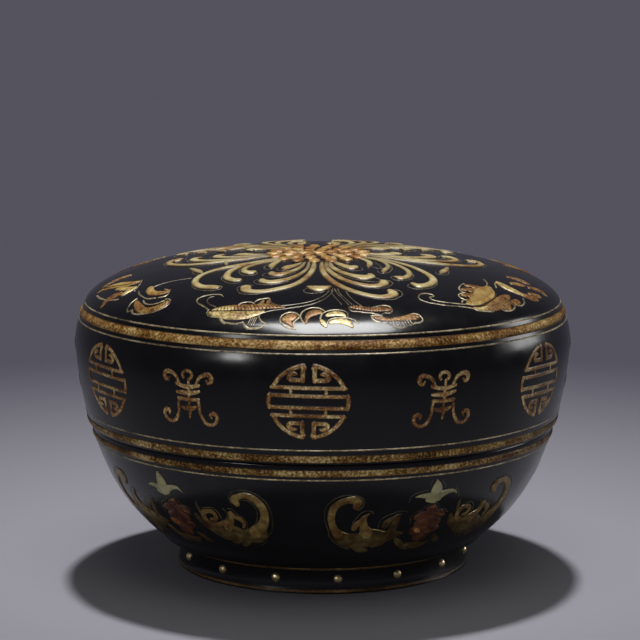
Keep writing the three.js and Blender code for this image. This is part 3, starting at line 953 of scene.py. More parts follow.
frontDrop = [(1.6, -39.8, 1.2), (0.6, -40.7, 2.6), (-0.9, -41.3, 3.3), (-2.2, -40.8, 2.8), (-3.2, -40, 1.4)]
sideDrops = [
    [(-31.2, -16.4, 1), (-30.2, -18.6, 1.8), (-29, -21, 2), (-28.3, -22.8, 1.2)],
    [(29.4, -16.5, 1), (28.9, -19.4, 1.8), (28, -22, 2), (27.5, -23.7, 1)],
]
smallBars = [
    [(2.4, -13.8, 1.4), (2.4, -16.5, 2.1), (2.4, -19.2, 1.4)],
    [(-22.9, -12.8, 0.8), (-22.8, -15.5, 1.3), (-22.6, -18, 0.8)],
]


# the fine line that follows the outer side of a petal and goes round its tip
def tipOutline(stroke):
    beside, roundTip = flower["outlineGap"]
    bulb = max(stroke[-3:], key=lambda point: point[2])
    line = smoothLine(stroke[:stroke.index(bulb) + 1])
    headings = [math.atan2(b[1] - a[1], b[0] - a[0]) for a, b in zip(line, line[1:])]
    bends = [math.remainder(b - a, 2 * math.pi) for a, b in zip(headings, headings[1:])]
    turn = 1 if sum(bends[len(bends) // 2:]) >= 0 else -1
    run = min(flower["outlineRun"], flower["outlineShare"] * drawing["spacing"] * len(line))
    count = max(2, round(run / drawing["spacing"]))
    points = []
    for i in range(0, count, flower["outlineSkip"]):
        x, y, width = line[i - count]
        side = headings[i - count] - turn * math.pi / 2
        reach = width / 2 + beside + (roundTip - beside) * i / count
        points.append((x + reach * math.cos(side), y + reach * math.sin(side)))
    end = stroke[-1]
    aside = bulb[2] / 2 + roundTip
    ahead = max(aside, math.dist(bulb[:2], end[:2]) + end[2] / 2 + (beside + roundTip) / 2)
    c, s = math.cos(headings[-1]), math.sin(headings[-1])
    for forward, out in ovalPoints((0, 0), ahead, turn * aside, *flower["tipSweep"], flower["tipSteps"]):
        points.append((bulb[0] + forward * c - out * s, bulb[1] + forward * s + out * c))
    return penLine(points, flower["outlineWidth"])


def lidFlower():
    turn, centre = flower["groupTurn"], flower["centre"]
    front = frontLeftPetals + frontRightPetals + [frontDrop]
    petals = front + sidePetals + sideDrops
    petals += [turned(petal, -turn, centre) for petal in frontLeftPetals]
    petals += [turned(petal, turn, centre) for petal in frontRightPetals]
    petals += [turned(petal, angle, centre) for angle in (2 * turn, -2 * turn) for petal in front]
    petals = bolder(petals, flower["fullness"])
    domePiece("lid_flower_petals", petals + smallBars, flower["petals"])
    domePiece("lid_flower_outlines", [tipOutline(petal) for petal in petals], flower["outlines"])


boss = {
    "heart": [(-0.4, 0, 2.8), (0.4, 0, 2.8)],
    "rings": [(3.5, 7, 2.5), (7, 12, 2.9), (10.6, 17, 2.9)],  # radius, lobes and their width
    "lobeLength": 2.9,
    "lobeShape": [(-0.5, 0.55), (-0.1, 1), (0.25, 0.95)],  # share of the length and of the width
    "raised": 0.7 * mm,
    "softness": 0.9 * mm,
    "roundness": 3,
}


def lidBoss():
    cx, cy = flower["centre"]
    lobes = [[(cx + x, cy + y, width) for x, y, width in boss["heart"]]]
    for ringRadius, count, width in boss["rings"]:
        for i in range(count):
            angle = 2 * math.pi * (i + 0.5) / count
            lobe = []
            for share, swell in boss["lobeShape"]:
                radius = ringRadius + boss["lobeLength"] * share
                lobe.append((cx + radius * math.cos(angle), cy + radius * math.sin(angle), width * swell))
            lobes.append(lobe)
    domePiece("lid_flower_boss", lobes[::2], {**boss, "finish": "bossGilt"})
    domePiece("lid_flower_boss_rust", lobes[1::2], {**boss, "finish": "bossRust"})


lidFlower()
lidBoss()
print("flower laid")


# leaf sprays round the flower

sprayGold = [
    [(-25.2, -47.6, 1), (-23.6, -48.6, 1.9), (-21.4, -49.7, 2.5), (-18.8, -50.5, 2.8),
     (-16.4, -50.9, 2.5), (-14.8, -51, 1.6), (-13.2, -50.7, 0.7)],
    [(-24.6, -46.9, 0.7), (-22.6, -47.2, 1.5), (-20.6, -47.6, 1.5), (-18.4, -48.4, 0.8)],
    [(0.9, -53.3, 0.9), (1.8, -52.9, 1.4), (3.1, -52.6, 1.5), (4.2, -52.8, 1.3), (4.9, -53.3, 0.7)],
    [(1.6, -55.3, 0.8), (3, -54.9, 1.3), (4.6, -54.9, 1.5), (5.9, -55.3, 1.4), (6.4, -55.8, 0.8)],
    [(-0.4, -54.8, 0.8), (0, -55.4, 1.3), (0.6, -56, 0.9)],
    [(32.7, -40.3, 0.7), (34.2, -39.8, 1.1), (35.8, -38.2, 1.2), (36.8, -36.4, 0.7)],
    [(34.2, -41.3, 0.6), (35.8, -40.6, 1.1), (37.4, -39.1, 1.2), (38.2, -37.8, 0.6)],
    [(41.2, -21.8, 1.8), (42.4, -23, 2.8), (43.8, -23.8, 2.9), (45.4, -24.4, 2.2), (46.8, -24.6, 1.2)],
    [(-46.6, -24.5, 1), (-45.3, -23.5, 1.9), (-44.2, -22.6, 1.9)],
]
sprayAmber = [
    [(32.8, -40, 0.9), (34.4, -38.1, 2.6), (35.9, -35.5, 4), (37, -32.4, 4.9), (37.9, -29.6, 4),
     (38.4, -27.6, 1.8)],
    [(-53.4, -12, 1), (-51.6, -12.4, 1.9), (-50, -13.4, 2.6), (-48.4, -14.8, 3), (-46.4, -16.8, 3),
     (-44.8, -18, 2.4), (-43.4, -18, 1.2)],
    [(-48.4, -18, 1.2), (-47, -19.6, 1.9), (-45.6, -21.4, 1.9), (-44.4, -22.4, 1.4)],
    [(-40.8, -28.4, 0.6), (-40, -26, 1.4), (-39.9, -28.4, 1.9), (-39.1, -30.6, 2.1), (-37.6, -31.8, 1.9),
     (-36.3, -32.2, 1.6), (-35.4, -31.6, 1.1)],
    [(-41, -37.2, 1.7), (-39.8, -38.2, 1.9), (-38.4, -38.8, 1.9), (-36.9, -38.8, 1.8),
     (-35.7, -38.1, 1.6)],
]
sprayOrange = [
    [(-24.2, -46.5, 0.6), (-22, -47, 1.6), (-19, -47.7, 2), (-16, -48.5, 2.1), (-13, -48.7, 2.1),
     (-10.6, -49.2, 1.5), (-8.6, -49.8, 0.6)],
    [(-14.2, -48.4, 1.2), (-13.6, -46.9, 1), (-13.2, -45.9, 0.4)],
    [(-12.2, -48.6, 1.4), (-12.3, -47, 0.9), (-12, -45.6, 0.4)],
    [(-8.4, -53.9, 1.6), (-7.6, -53.5, 2.4), (-6.6, -53.3, 2)],
    [(-7.8, -54.4, 2), (-7.2, -55.2, 1.1), (-6.7, -55.9, 0.5)],
    [(-3.7, -55.2, 0.8), (-3.5, -54, 1.1), (-2.9, -52.9, 1.8), (-1.9, -52.3, 2), (-0.9, -52.2, 1.5),
     (-0.2, -52.6, 0.7)],
    [(6.4, -50, 1), (8, -50.1, 1.4), (10, -50.4, 1.3), (12, -50.1, 1.6), (13.6, -49.6, 1.8),
     (14.6, -49.6, 1.3)],
    [(11.2, -52.9, 0.6), (12.6, -53, 1), (14.6, -52.9, 0.9), (16.4, -52.3, 1), (18.2, -51.6, 1.3),
     (19.8, -50.8, 1.7), (21, -50.4, 1.5)],
    [(36.6, -40.2, 0.8), (38.2, -38.4, 2.2), (40, -35.7, 3), (41.3, -32.9, 3.1), (42.2, -30.4, 2.2),
     (43, -28.8, 0.9)],
    [(46, -24.6, 1.4), (47.2, -24.4, 2.4), (48.5, -23.8, 2.3), (49.8, -22.7, 1.5)],
    [(48.8, -16.4, 1.4), (50.3, -15.5, 2.1), (51.9, -14.8, 2.1), (52.6, -15.4, 1.3)],
    [(44.6, -18.6, 1.7), (46, -17.5, 2.3), (47.3, -16.6, 1.5)],
    [(48.6, -21.4, 1.4), (49.9, -20.6, 2), (50.9, -19.5, 1.2)],
    [(32.8, -39, 0.8), (33.8, -38.4, 1.6), (35, -37.8, 1.8)],
    [(31.8, -36.6, 1), (33, -36, 2), (34.8, -35.4, 2.4)],
    [(32, -33, 1), (33.4, -32.6, 2.4), (35, -32.2, 2.6)],
    [(32.9, -29.8, 0.9), (34.4, -29.6, 2), (36, -29.6, 2.4)],
    [(41.4, -36, 1), (42.2, -35, 1.8), (42.6, -34, 1.4)],
    [(43, -32.4, 1), (44.2, -31.2, 2), (45, -29.8, 1.6)],
    [(-42.9, -31.6, 0.9), (-42.8, -32.8, 1.4), (-42.4, -34.2, 1.8), (-41.7, -36, 1.9),
     (-40.9, -37.3, 1.5)],
    [(-51.4, -23.2, 1.4), (-50.3, -22.5, 2.2), (-48.9, -22.4, 2.8), (-47.6, -22.7, 2.1),
     (-46.9, -23.6, 1)],
    [(-52.4, -9.2, 1), (-50.6, -8.2, 1.8), (-48.4, -7.6, 2), (-46.2, -7.6, 1.2)],
    [(44, -12.8, 1.2), (45.5, -12.3, 2.3), (47.1, -12.5, 2.5), (48.6, -13.3, 1.6)],
]
sprayLines = [
    # the left spray: tendril, scalloped edge and stem
    [(-25.6, -46.3), (-27.4, -43.6), (-28.3, -42.2), (-28.5, -40.9), (-27.8, -39.8), (-26.1, -39.4),
     (-24.2, -39.7), (-23, -40.5), (-22.5, -41.6)],
    [(-25.6, -46.3), (-25.95, -47.3), (-25.6, -48.3), (-24.8, -48.9), (-23.7, -49.4), (-23, -49.9)],
    [(-23, -49.9), (-22.6, -50.8), (-21.9, -51.4), (-20.6, -52.2), (-19.2, -52.7), (-18, -52.8)],
    [(-17.8, -52.8), (-17.3, -53.7), (-16.7, -54.3), (-15.4, -54.7), (-14, -54.9), (-12.7, -54.5)],
    [(-12.7, -54.4), (-13.6, -53.6), (-14.1, -52.7), (-14.2, -51.9), (-13.8, -51.2), (-12.8, -51)],
    [(-19, -46.8), (-18.4, -46.1), (-17.2, -45.9), (-16.1, -46.2), (-15.4, -46.9)],
    [(-15.2, -46.3), (-14.6, -45.5), (-13.4, -45.2), (-12, -45.2), (-11.9, -46.3), (-11.4, -47.6),
     (-10.5, -48.5), (-9.6, -49)],
    # the loose petals at the front
    [(-6.1, -56.3), (-7.6, -56), (-8.8, -55.4), (-9.4, -54.6), (-9.5, -53.6), (-8.9, -52.5),
     (-7.6, -51.8), (-6.2, -52.1), (-5.4, -52.9), (-5.3, -53.7), (-6.1, -54.5), (-6.6, -55.3),
     (-6.1, -56.3)],
    [(-4.1, -55.4), (-4.8, -54.3), (-5, -53.1), (-4.5, -51.8), (-3.5, -50.9), (-2, -50.4), (-0.6, -50.8),
     (0.3, -51.7), (0.5, -52.2)],
    [(-0.6, -54.2), (-0.3, -53), (0.6, -52), (1.9, -51.4), (3.5, -51.2), (4.8, -51.6), (5.5, -52.4),
     (5.5, -53.5)],
    [(0.9, -55.5), (1.3, -54.7), (2.4, -54.1), (4, -53.8), (5.6, -53.8), (6.9, -54.2), (7.8, -55)],
    # two ribbed leaves right of the middle
    [(5.9, -50), (5.9, -50.9), (6.6, -51.5), (8, -51.45), (9.2, -51.6), (10.6, -51.6), (12, -51.8),
     (13.1, -52)],
    [(11.2, -49.4), (12.2, -48.8), (13.4, -48.2), (14.5, -48.2), (15.3, -49), (15.4, -50), (14.8, -50.9),
     (13.7, -51), (13.2, -51.6), (13.2, -52)],
    [(10.7, -52.5), (12.2, -52.1), (13.4, -52.5), (14.9, -52.7), (16.3, -52.4), (17.6, -51.8),
     (18.6, -51), (19.5, -50), (20.5, -49.5), (21.5, -49.7), (22.2, -50.5), (22, -51.3), (21.1, -51.9),
     (20.5, -52.1)],
    [(10.7, -52.5), (10.9, -53.2), (11.6, -53.8), (12.8, -54), (14.2, -53.9), (15.5, -54.3),
     (17.2, -54.1), (18.8, -53.3), (20.1, -52.5), (20.6, -52)],
    # the big right leaf
    [(34.6, -41.4), (32.4, -42), (30.6, -42.6), (28.2, -43.5), (25.9, -43.9), (23.8, -44), (22.3, -43.5),
     (21.6, -42.6), (21.8, -41), (22.6, -39.9), (23.8, -39.5), (24.9, -39.7), (25.1, -40.4)],
    [(32.6, -40.7), (30.9, -41.4), (28.8, -42), (26.8, -42.4), (25, -42.4), (24.3, -42), (24.2, -41.2),
     (24.9, -40.8)],
    [(31.5, -40.6), (31.7, -39.6), (32.4, -38.7), (33.4, -37.9)],
    [(32.4, -38.7), (31.6, -38.4), (31, -37.6), (31, -36.6), (31.5, -35.8), (32.4, -35.1)],
    [(32.8, -34.4), (32.2, -34.8), (31.5, -34), (31.2, -32.9), (31.5, -31.4), (32, -29.8), (32.6, -28.8)],
    [(37.6, -21.6), (38.2, -23.6), (38.2, -25.6), (37.8, -27)],
    [(40.7, -20.6), (40.2, -23.2), (40.3, -26)],
    [(46.5, -26.6), (46.7, -28), (46.3, -29.8), (45.4, -31.3), (44.1, -32)],
    [(44.1, -32), (44.1, -33.2), (43.5, -34.7), (42.4, -36.1), (41.2, -37), (39.9, -37.2), (39.6, -38),
     (39.1, -38.6)],
    [(39.1, -38.6), (38.4, -39.6), (36.8, -40.7), (35.2, -41.6), (34.4, -41.5)],
    # the left scrolls and the long left leaf
    [(-42.9, -30.4), (-44.1, -31.3), (-44.8, -32.6), (-44.9, -33.7), (-44.4, -34.5), (-43.6, -34.7)],
    [(-43.6, -34.7), (-43.6, -35.6), (-43, -36.5), (-41.9, -37.6), (-40.4, -38.7), (-38.3, -39.8),
     (-36, -39.8), (-34.8, -38.6), (-34.9, -37), (-35.8, -36.2)],
    [(-41.2, -32.8), (-40.8, -34.4), (-39.4, -36.2), (-37.4, -36.9), (-36.2, -36.7)],
    [(-36.4, -30), (-35.4, -31.6), (-35.3, -33.2), (-36.1, -34.5), (-37.6, -34.2)],
    [(-42.8, -26.2), (-42.4, -28.4), (-41.4, -30.8), (-40.2, -32.8), (-38.4, -33.8)],
    [(-42.6, -17.6), (-42.8, -20.4), (-43.4, -23.4), (-43.8, -24.9)],
    [(-53.6, -14), (-52.2, -18.6), (-50, -23), (-47.6, -25.8)],
]
sprayStems = [
    [(-24.1, -45.7), (-25.2, -44.6), (-26, -43.1), (-26.1, -41.8), (-25.6, -40.9), (-24.6, -40.6)],
    [(-12.8, -50.9), (-11.2, -50.6), (-9.6, -50.5), (-7.8, -50.3), (-5.9, -50), (-4, -49.6),
     (-1.6, -48.5), (0.4, -46.6), (1.6, -44.4), (2.2, -42.4)],
    [(-9.6, -49), (-7.8, -49), (-5.3, -48.6), (-3, -47.9), (-1, -46.4), (0.6, -44.4), (1.4, -42.2)],
    [(2.2, -40.9), (2, -43.4), (3, -46.4), (4.1, -48.9)],
    [(2.6, -41), (3.2, -43.6), (4.4, -46.4), (5.7, -49)],
    [(3.4, -41.2), (3.8, -43.6), (5, -46.2), (6.4, -48.7)],
    [(5.2, -42.4), (5.8, -44.6), (7, -47.2), (8.6, -49.3)],
    [(-39.8, -26.4), (-37.8, -25.6), (-35.4, -25.3), (-32.8, -25.4), (-30.6, -25.7)],
]
sprayNotches = [  # thick ends of the pen lines where two scallops meet
    [(-23, -49.9), (-22.6, -50.8), (-21.9, -51.7)],
    [(-17.8, -52.8), (-17.3, -53.7), (-16.7, -54.3)],
]
sprayHatches = [  # pale ticks, from one line to another, how many and how wide
    ([(-16.2, -52.2), (-14.4, -52.3)], [(-17, -53.7), (-15.4, -54.6)], 4, 0.2),
    ([(7, -49.9), (9, -50.1), (11, -50.1)], [(6.4, -48.9), (9, -49.4), (11.4, -49.2)], 7, 0.2),
    ([(13.4, -53.4), (16.4, -53), (19.6, -51.7)], [(13.7, -54), (17.2, -54.1), (20.3, -52.5)], 10, 0.3),
]
darkHatches = [  # dark ticks on the leaves, given the same way
    ([(-24, -47.3), (-20, -48.4), (-16, -49.4), (-12, -49.7), (-9, -49.8)],
     [(-23.6, -46.2), (-20.6, -46.4), (-17, -47), (-13.5, -47.3), (-11, -48.2)], 19, 0.28),
    ([(-24, -48.5), (-20, -49.8), (-16, -50.9)], [(-23, -49.4), (-20, -51.2), (-17, -52)], 11, 0.16),
    ([(6.4, -50.8), (9, -51.1), (12, -51.1), (14, -50.5)],
     [(6.2, -49.6), (9, -49.8), (12, -49.5), (14, -49.1)], 12, 0.26),
    ([(14, -53.2), (17, -52.6), (20, -50.8)], [(13.6, -52.6), (16.6, -51.8), (19.4, -50.4)], 9, 0.2),
    ([(33.4, -39.6), (35.2, -38), (37, -35.6), (38.4, -32.6), (39.2, -29.8)],
     [(32.4, -38), (32.4, -35), (32.6, -32), (34.4, -28.8), (38.6, -27.2)], 13, 0.3),
    ([(37, -39.6), (38.6, -37.4), (40.2, -34.6), (41, -31.4)],
     [(38.6, -40.2), (41.4, -37), (43.6, -34), (44.4, -30.6)], 11, 0.32),
    ([(-41.2, -36.4), (-39.6, -37.5), (-37.6, -37.9), (-35.6, -37.2)],
     [(-42, -37.8), (-40, -39.2), (-37.8, -39.8), (-35.4, -39)], 10, 0.26),
]
sprayVeins = [
    [(-25, -47.4), (-22.4, -48.3), (-19.6, -49.2), (-16.4, -50.1), (-13.2, -50.4)],
    [(34.2, -40.9), (36.3, -39), (38.1, -36.2), (39.4, -33.4), (40, -30.6)],
    [(20.6, -50.2), (21.3, -50.1), (21.6, -50.7), (21, -51.1), (20.5, -50.8)],
    [(-52, -12.2), (-50, -14.4), (-47.6, -16.8), (-45, -18.8)],
]
spray = {
    "lineWidth": 0.36,
    "stemWidth": 0.26,
    "notchWidth": 0.55,
    "veinWidth": 0.34,
    "backScale": -0.97,  # the far side repeats the near side, turned half round
}
sprayLeaf = {"softness": 0.4 * mm, "roundness": 3}
sprayThin = {"softness": 0.12 * mm, "roundness": 1}
sprayForms = {
    "lid_spray_leaves": {**sprayLeaf, "raised": 0.24 * mm, "finish": "leafGold"},
    "lid_spray_amber_leaves": {**sprayLeaf, "raised": 0.2 * mm, "finish": "leafAmber"},
    "lid_spray_rust_leaves": {**sprayLeaf, "raised": 0.2 * mm, "finish": "leafOrange"},
    "lid_spray_veins": {**sprayThin, "raised": 0.42 * mm, "finish": "veinUmber"},
    "lid_spray_outlines": {**sprayThin, "raised": 0.12 * mm, "finish": "lineGilt"},
    "lid_spray_stems": {**sprayThin, "raised": 0.12 * mm, "finish": "stemLine"},
}


def hatches(rows):
    return [tick for row in rows for tick in hatch(*row)]


def sprayStrokes():
    lines = [penLine(points, spray["lineWidth"]) for points in sprayLines]
    notches = [even(points, spray["notchWidth"]) for points in sprayNotches]
    veins = [even(points, spray["veinWidth"]) for points in sprayVeins]
    return {
        "lid_spray_leaves": sprayGold,
        "lid_spray_amber_leaves": sprayAmber,
        "lid_spray_rust_leaves": sprayOrange,
        "lid_spray_veins": veins + hatches(darkHatches),
        "lid_spray_outlines": lines + notches + hatches(sprayHatches),
        "lid_spray_stems": [penLine(points, spray["stemWidth"]) for points in sprayStems],
    }


def sprayPieces():
    back = spray["backScale"]
    for name, strokes in sprayStrokes().items():
        turnedBack = [[(x * back, y * back, width) for x, y, width in stroke] for stroke in strokes]
        domePiece(name, strokes + turnedBack, sprayForms[name])


sprayPieces()
print("leaf sprays laid")


# bowl garlands: a blossom over a flower, between two scrolled leaves

scrollBands = [
    [(-18, 24.8, 1.4), (-17.7, 25.9, 2), (-18.7, 26.6, 1.7), (-20.1, 26.5, 1.5), (-21.5, 26, 1.5),
     (-22.8, 24.8, 1.5), (-23.4, 23.2, 1.5), (-23.5, 21.6, 1.5), (-23.2, 20.1, 1.5), (-22.6, 18.7, 1.7),
     (-21.8, 17.6, 2.2)],
    [(18.6, 24.9, 1.4), (18.2, 25.8, 1.9), (19.2, 26.7, 1.3), (20.6, 27.1, 1.4), (22.2, 26.7, 1.5),
     (23.6, 25.7, 1.7), (24.5, 24.2, 1.8), (24.8, 22.4, 1.8), (24.4, 20.6, 2), (23.4, 19, 2.4),
     (21.8, 17.6, 3)],
    [(-18, 19.2, 1.3), (-17.7, 20, 1.5), (-16.5, 20.9, 1.3), (-15.9, 22, 1.1), (-14.8, 23, 0.3)],
    [(-15.8, 22.2, 0.8), (-15.9, 20.6, 1.4), (-15.6, 19, 2), (-14.8, 17.6, 2.6)],
    [(10.7, 19.9, 0.8), (11.6, 19.9, 1), (12.2, 20.8, 1), (11.6, 21.9, 1), (10.1, 22, 1.1),
     (9, 21.4, 1.2), (8.7, 20.2, 1.2), (9.3, 19.1, 1.2), (10.4, 18.5, 1.3), (11.9, 18.6, 1.2),
     (13.7, 19.2, 1.1), (15.4, 19.9, 1.2)],
    [(18.9, 18.7, 0.7), (19.3, 19.8, 1), (18.6, 20.8, 1.1), (17.4, 21.4, 1.1), (16.6, 22.6, 0.4)],
    [(16.2, 22.2, 0.8), (16.3, 20.8, 1.2), (15.6, 19.4, 1.6), (14.6, 18, 2)],
]
scrollBodies = [
    [(-22.8, 18.2, 1.6), (-21.6, 16.8, 2.8), (-19.4, 15.9, 3.6), (-16.4, 15.6, 4.2), (-13.4, 15.8, 4.2),
     (-10.4, 16.2, 3.4), (-7.8, 16.8, 2.2), (-5.8, 17, 1)],
    [(-17.8, 14.2, 1.4), (-15.8, 13, 1.8), (-14, 12.6, 1.2)],
    [(-12.4, 14, 1.4), (-10, 14.6, 1.2)],
    [(-10.6, 19.2, 1.4), (-10.4, 20, 2), (-9.4, 20.9, 1.2), (-8.2, 21.6, 1.2), (-7, 22.4, 0.3)],
    [(-7.4, 22, 0.6), (-8, 20.4, 1.6), (-8.4, 19, 1.8), (-8.6, 17.6, 2)],
    [(21.8, 17.4, 3), (18.7, 16.3, 3.2), (15.7, 16.8, 4.2), (12.7, 16.5, 4), (9.7, 17.6, 2.6),
     (7.7, 18.6, 2), (6.6, 20.4, 1.2)],
    [(24, 17.8, 1.4), (23.6, 16.6, 1.6), (22, 15.4, 1.6), (20, 15, 1.2)],
    [(17.2, 15.6, 2), (15.6, 14.8, 2.2), (14.6, 13.9, 1.4)],
    [(19.6, 14.9, 0.8), (18.4, 14.3, 1.5), (17.2, 13.6, 1.3)],
    [(8.6, 20.8, 1.2), (8, 22.2, 0.9), (7.8, 23.5, 0.7), (8.1, 24.4, 0.3)],
    [(-6.8, 15.4, 1), (-5.4, 14.2, 1.6), (-3.6, 12.9, 1.4), (-2, 12, 0.6)],
    [(-2.8, 13.6, 1), (-0.4, 12.8, 2), (2, 13, 1.4), (3.6, 13.8, 0.6)],
    [(4.2, 15.2, 1), (5.4, 14, 1.4), (6.8, 13.4, 0.8)],
]
rustFlower = [
    [(0.2, 22.4, 1.6), (0.4, 20.6, 3), (0.4, 18.4, 4.2), (0.4, 16.2, 2.6)],
    [(-0.4, 22.8, 1.4), (0.5, 23.2, 2), (1.4, 22.8, 1.4)],
    [(-3, 21, 1.6), (-2, 21.3, 2.4), (-0.8, 21.6, 2)],
    [(4.2, 20.8, 1.4), (3.2, 21.3, 2.4), (1.8, 21.6, 2)],
    [(-2, 19.2, 2.4), (0.6, 19.4, 4), (3, 19.2, 2.4)],
    [(-2.6, 17.4, 2.4), (-0.6, 17, 3.6), (2, 17.2, 3.2), (3.8, 17.4, 1.6)],
    [(-1.4, 15.4, 1.6), (0.4, 14.8, 2), (1.8, 15.4, 1.2)],
]
flowerTouches = [
    [(-2.8, 17.8, 1), (-1.6, 17.3, 1.6), (-0.6, 16.6, 0.8)],
    [(0.1, 23.2, 0.8), (0.7, 23.4, 1.1)],
    [(2.8, 21.4, 0.8), (3.6, 21, 0.9)],
]
blossom = [
    [(0.4, 25.6, 2.6), (0.5, 27.4, 3), (0.4, 28.8, 2.3), (0.1, 30.1, 0.5)],
    [(-0.6, 26.2, 2), (-2.4, 26.5, 1.3), (-3.6, 26.5, 0.8), (-4.6, 26.3, 0.2)],
    [(1.8, 26.2, 1.9), (3, 26.7, 1.5), (4.2, 27, 1.2), (5.4, 26.8, 0.7), (6.3, 26, 0.25)],
    [(-1.4, 25.3, 1), (0.2, 25, 1.3), (1.8, 25.2, 0.8)],
]
# painted highlight: bright gilt lines along the upper edges of the leaves, where the light falls on them
garlandTopHighlights = [  # bright lines along the tops of the leaves
    [(-22.2, 18.7), (-20.8, 18.25), (-19.5, 17.7), (-18.1, 17.1), (-16.8, 17.4), (-16.3, 18)],
    [(-15.4, 20.9), (-15, 19.8), (-13.9, 18.8), (-12, 18.4), (-10.3, 17.8), (-9, 17.7), (-8.6, 18.4)],
]
garlandLines = [
    [(-17.5, 23.9), (-16.5, 24.8), (-16.3, 26), (-16.8, 27), (-18.3, 27.7), (-20.3, 27.8), (-22.2, 27.3),
     (-23.9, 26), (-24.9, 24.2), (-25, 22.3), (-24.7, 20.3), (-24.2, 18.9), (-23.9, 17.2), (-22.6, 15.4),
     (-20.6, 14), (-18.6, 13.2)],
    [(-18.6, 20.6), (-17.8, 21.7), (-16.8, 23.1), (-15.6, 23.7), (-14.2, 23.4), (-13.9, 22.8)],
    [(-12.2, 19.2), (-12, 20.9), (-10.8, 22), (-9.2, 22.6), (-7.5, 23.1), (-5.6, 22.7)],
    [(19.6, 25.8), (21.2, 25.8), (22.5, 24.9), (23.1, 23.2), (22.8, 21.1), (21.9, 19.6), (20.4, 18.3),
     (19, 17.6)],
    [(17.2, 24.7), (16.9, 26.4), (17.8, 27.6), (19.6, 28.3), (21.6, 28.3), (23.4, 27.7), (25, 26.4),
     (26, 24.7), (26.5, 22.3), (26.3, 19.6), (25.7, 17.9), (24.6, 16.4), (23.6, 14.8), (22, 13.8)],
    [(16, 23.3), (17.1, 23.2), (18.2, 22), (19.6, 21.1), (20.1, 19.4), (19.4, 18.1)],
    [(14.6, 23.2), (15.4, 22.3), (15.3, 21.1), (14.6, 20.2), (13.4, 19.9)],
    [(9, 22.5), (10.1, 22.9), (12.2, 22.9), (13.3, 21.6), (13.4, 20.4)],
    [(-5.8, 25.3), (-5.7, 26.3), (-4.5, 27.3), (-2.5, 27.7), (-1.5, 27.8)],
    [(-1.3, 29), (-1.1, 30.2)],
    [(1.6, 29.9), (2.5, 28.7), (2.8, 27.8)],
    [(5.5, 27.6), (6.6, 26.4), (7.1, 25.3)],
    [(-1.3, 23.6), (0.3, 24.4), (1.9, 23.9), (2.8, 22.6), (4.4, 22.3), (5.2, 21.4)],
    [(-1.3, 23.6), (-2.2, 22.8), (-3.8, 22.2), (-4.4, 21), (-4.2, 19.6)],
]
garland = {
    "wall": bowlWallRadius,
    "drawnRadius": 52 * mm,
    "middle": 0,
    "angles": (28, 110, 178, 245, -42.1),
    "softness": 0.3 * mm,
    "roundness": 3,
    "body": "bowl",
    "bodyBoldness": 1.08,  # of the widths of the scrolls above
    "bandBoldness": 1.2,
    "topHighlightWidth": 0.38,
    "lineWidth": 0.28,
}
garlandForms = {
    "bowl_scroll_bodies": {"raised": 0.24 * mm, "finish": "scrollBody"},
    "bowl_scrolls": {"raised": 0.276 * mm, "finish": "scrollBand"},
    "bowl_flower": {"raised": 0.24 * mm, "finish": "rustLacquer"},
    "bowl_flower_touches": {"raised": 0.32 * mm, "finish": "leafOrange"},
    "bowl_blossom": {"raised": 0.32 * mm, "finish": "blossomLacquer", "angles": (28, 110, 178, 245, -43.9)},
    "bowl_top_highlights": {"raised": 0.3 * mm, "finish": "leafGold", "roundness": 1},
    "bowl_outlines": {"raised": 0.1 * mm, "finish": "shadedLineGilt", "roundness": 1},
}
garlandStrokes = {
    "bowl_scroll_bodies": bolder(scrollBodies, garland["bodyBoldness"]),
    "bowl_scrolls": bolder(scrollBands, garland["bandBoldness"]),
    "bowl_flower": rustFlower,
    "bowl_flower_touches": flowerTouches,
    "bowl_blossom": blossom,
    "bowl_top_highlights": [even(points, garland["topHighlightWidth"]) for points in garlandTopHighlights],
    "bowl_outlines": [even(points, garland["lineWidth"]) for points in garlandLines],
}
for name, strokes in garlandStrokes.items():
    wallPieces(name, strokes, {**garland, **garlandForms[name]})
print("garlands laid")


# floor, backdrop and light

stageLook = {
    "floorColour": (0.29, 0.284, 0.325),
    "floorRoughness": 0.75,
    "floorSpecular": 0.2,
    "floorRadius": 20,
    "floorSides": 96,
    "backdropColour": (0.09, 0.087, 0.111),  # the far floor fades to it, and the sky has it
    "backdropSpan": (0.08, 0.3),  # where the fade starts and ends, from the middle of the box
    "skyLight": 0.048,  # what the sky adds to lit surfaces
    "target": (0, 0, 0.04),
    "keySpot": {"place": (0, 0.82, 2.9), "power": 345, "radius": 0.1, "cone": 18},
    "softboxes": {  # the first one lights the walls, and the others show in the gloss
        "frontFill": {"size": (0.8, 0.2), "place": (-0.15, -1, 0.115), "power": 3.2, "gloss": False},
        "shoulderStrip": {"size": (0.62, 0.7), "place": (0.06, -0.28, 0.93), "power": 38, "gloss": True},
        "leftSoftbox": {"size": (0.18, 0.18), "place": (-0.67, -0.78, 0.44), "power": 1.9, "gloss": True},
        "rightSoftbox": {"size": (0.35, 0.35), "place": (1.02, 0.27, 0.33), "power": 2.9, "gloss": True},
    },
}


# 1 for what the camera, gloss and glass see, and 0 for what only light reaches
def seenNode(nodes, links):
    path = nodes.new("ShaderNodeLightPath")
    seen = path.outputs["Is Camera Ray"]
    for kind in ("Is Glossy Ray", "Is Transmission Ray"):
        most = nodes.new("ShaderNodeMath")
        most.operation = "MAXIMUM"
        links.new(seen, most.inputs[0])
        links.new(path.outputs[kind], most.inputs[1])
        seen = most.outputs[0]
    return seen


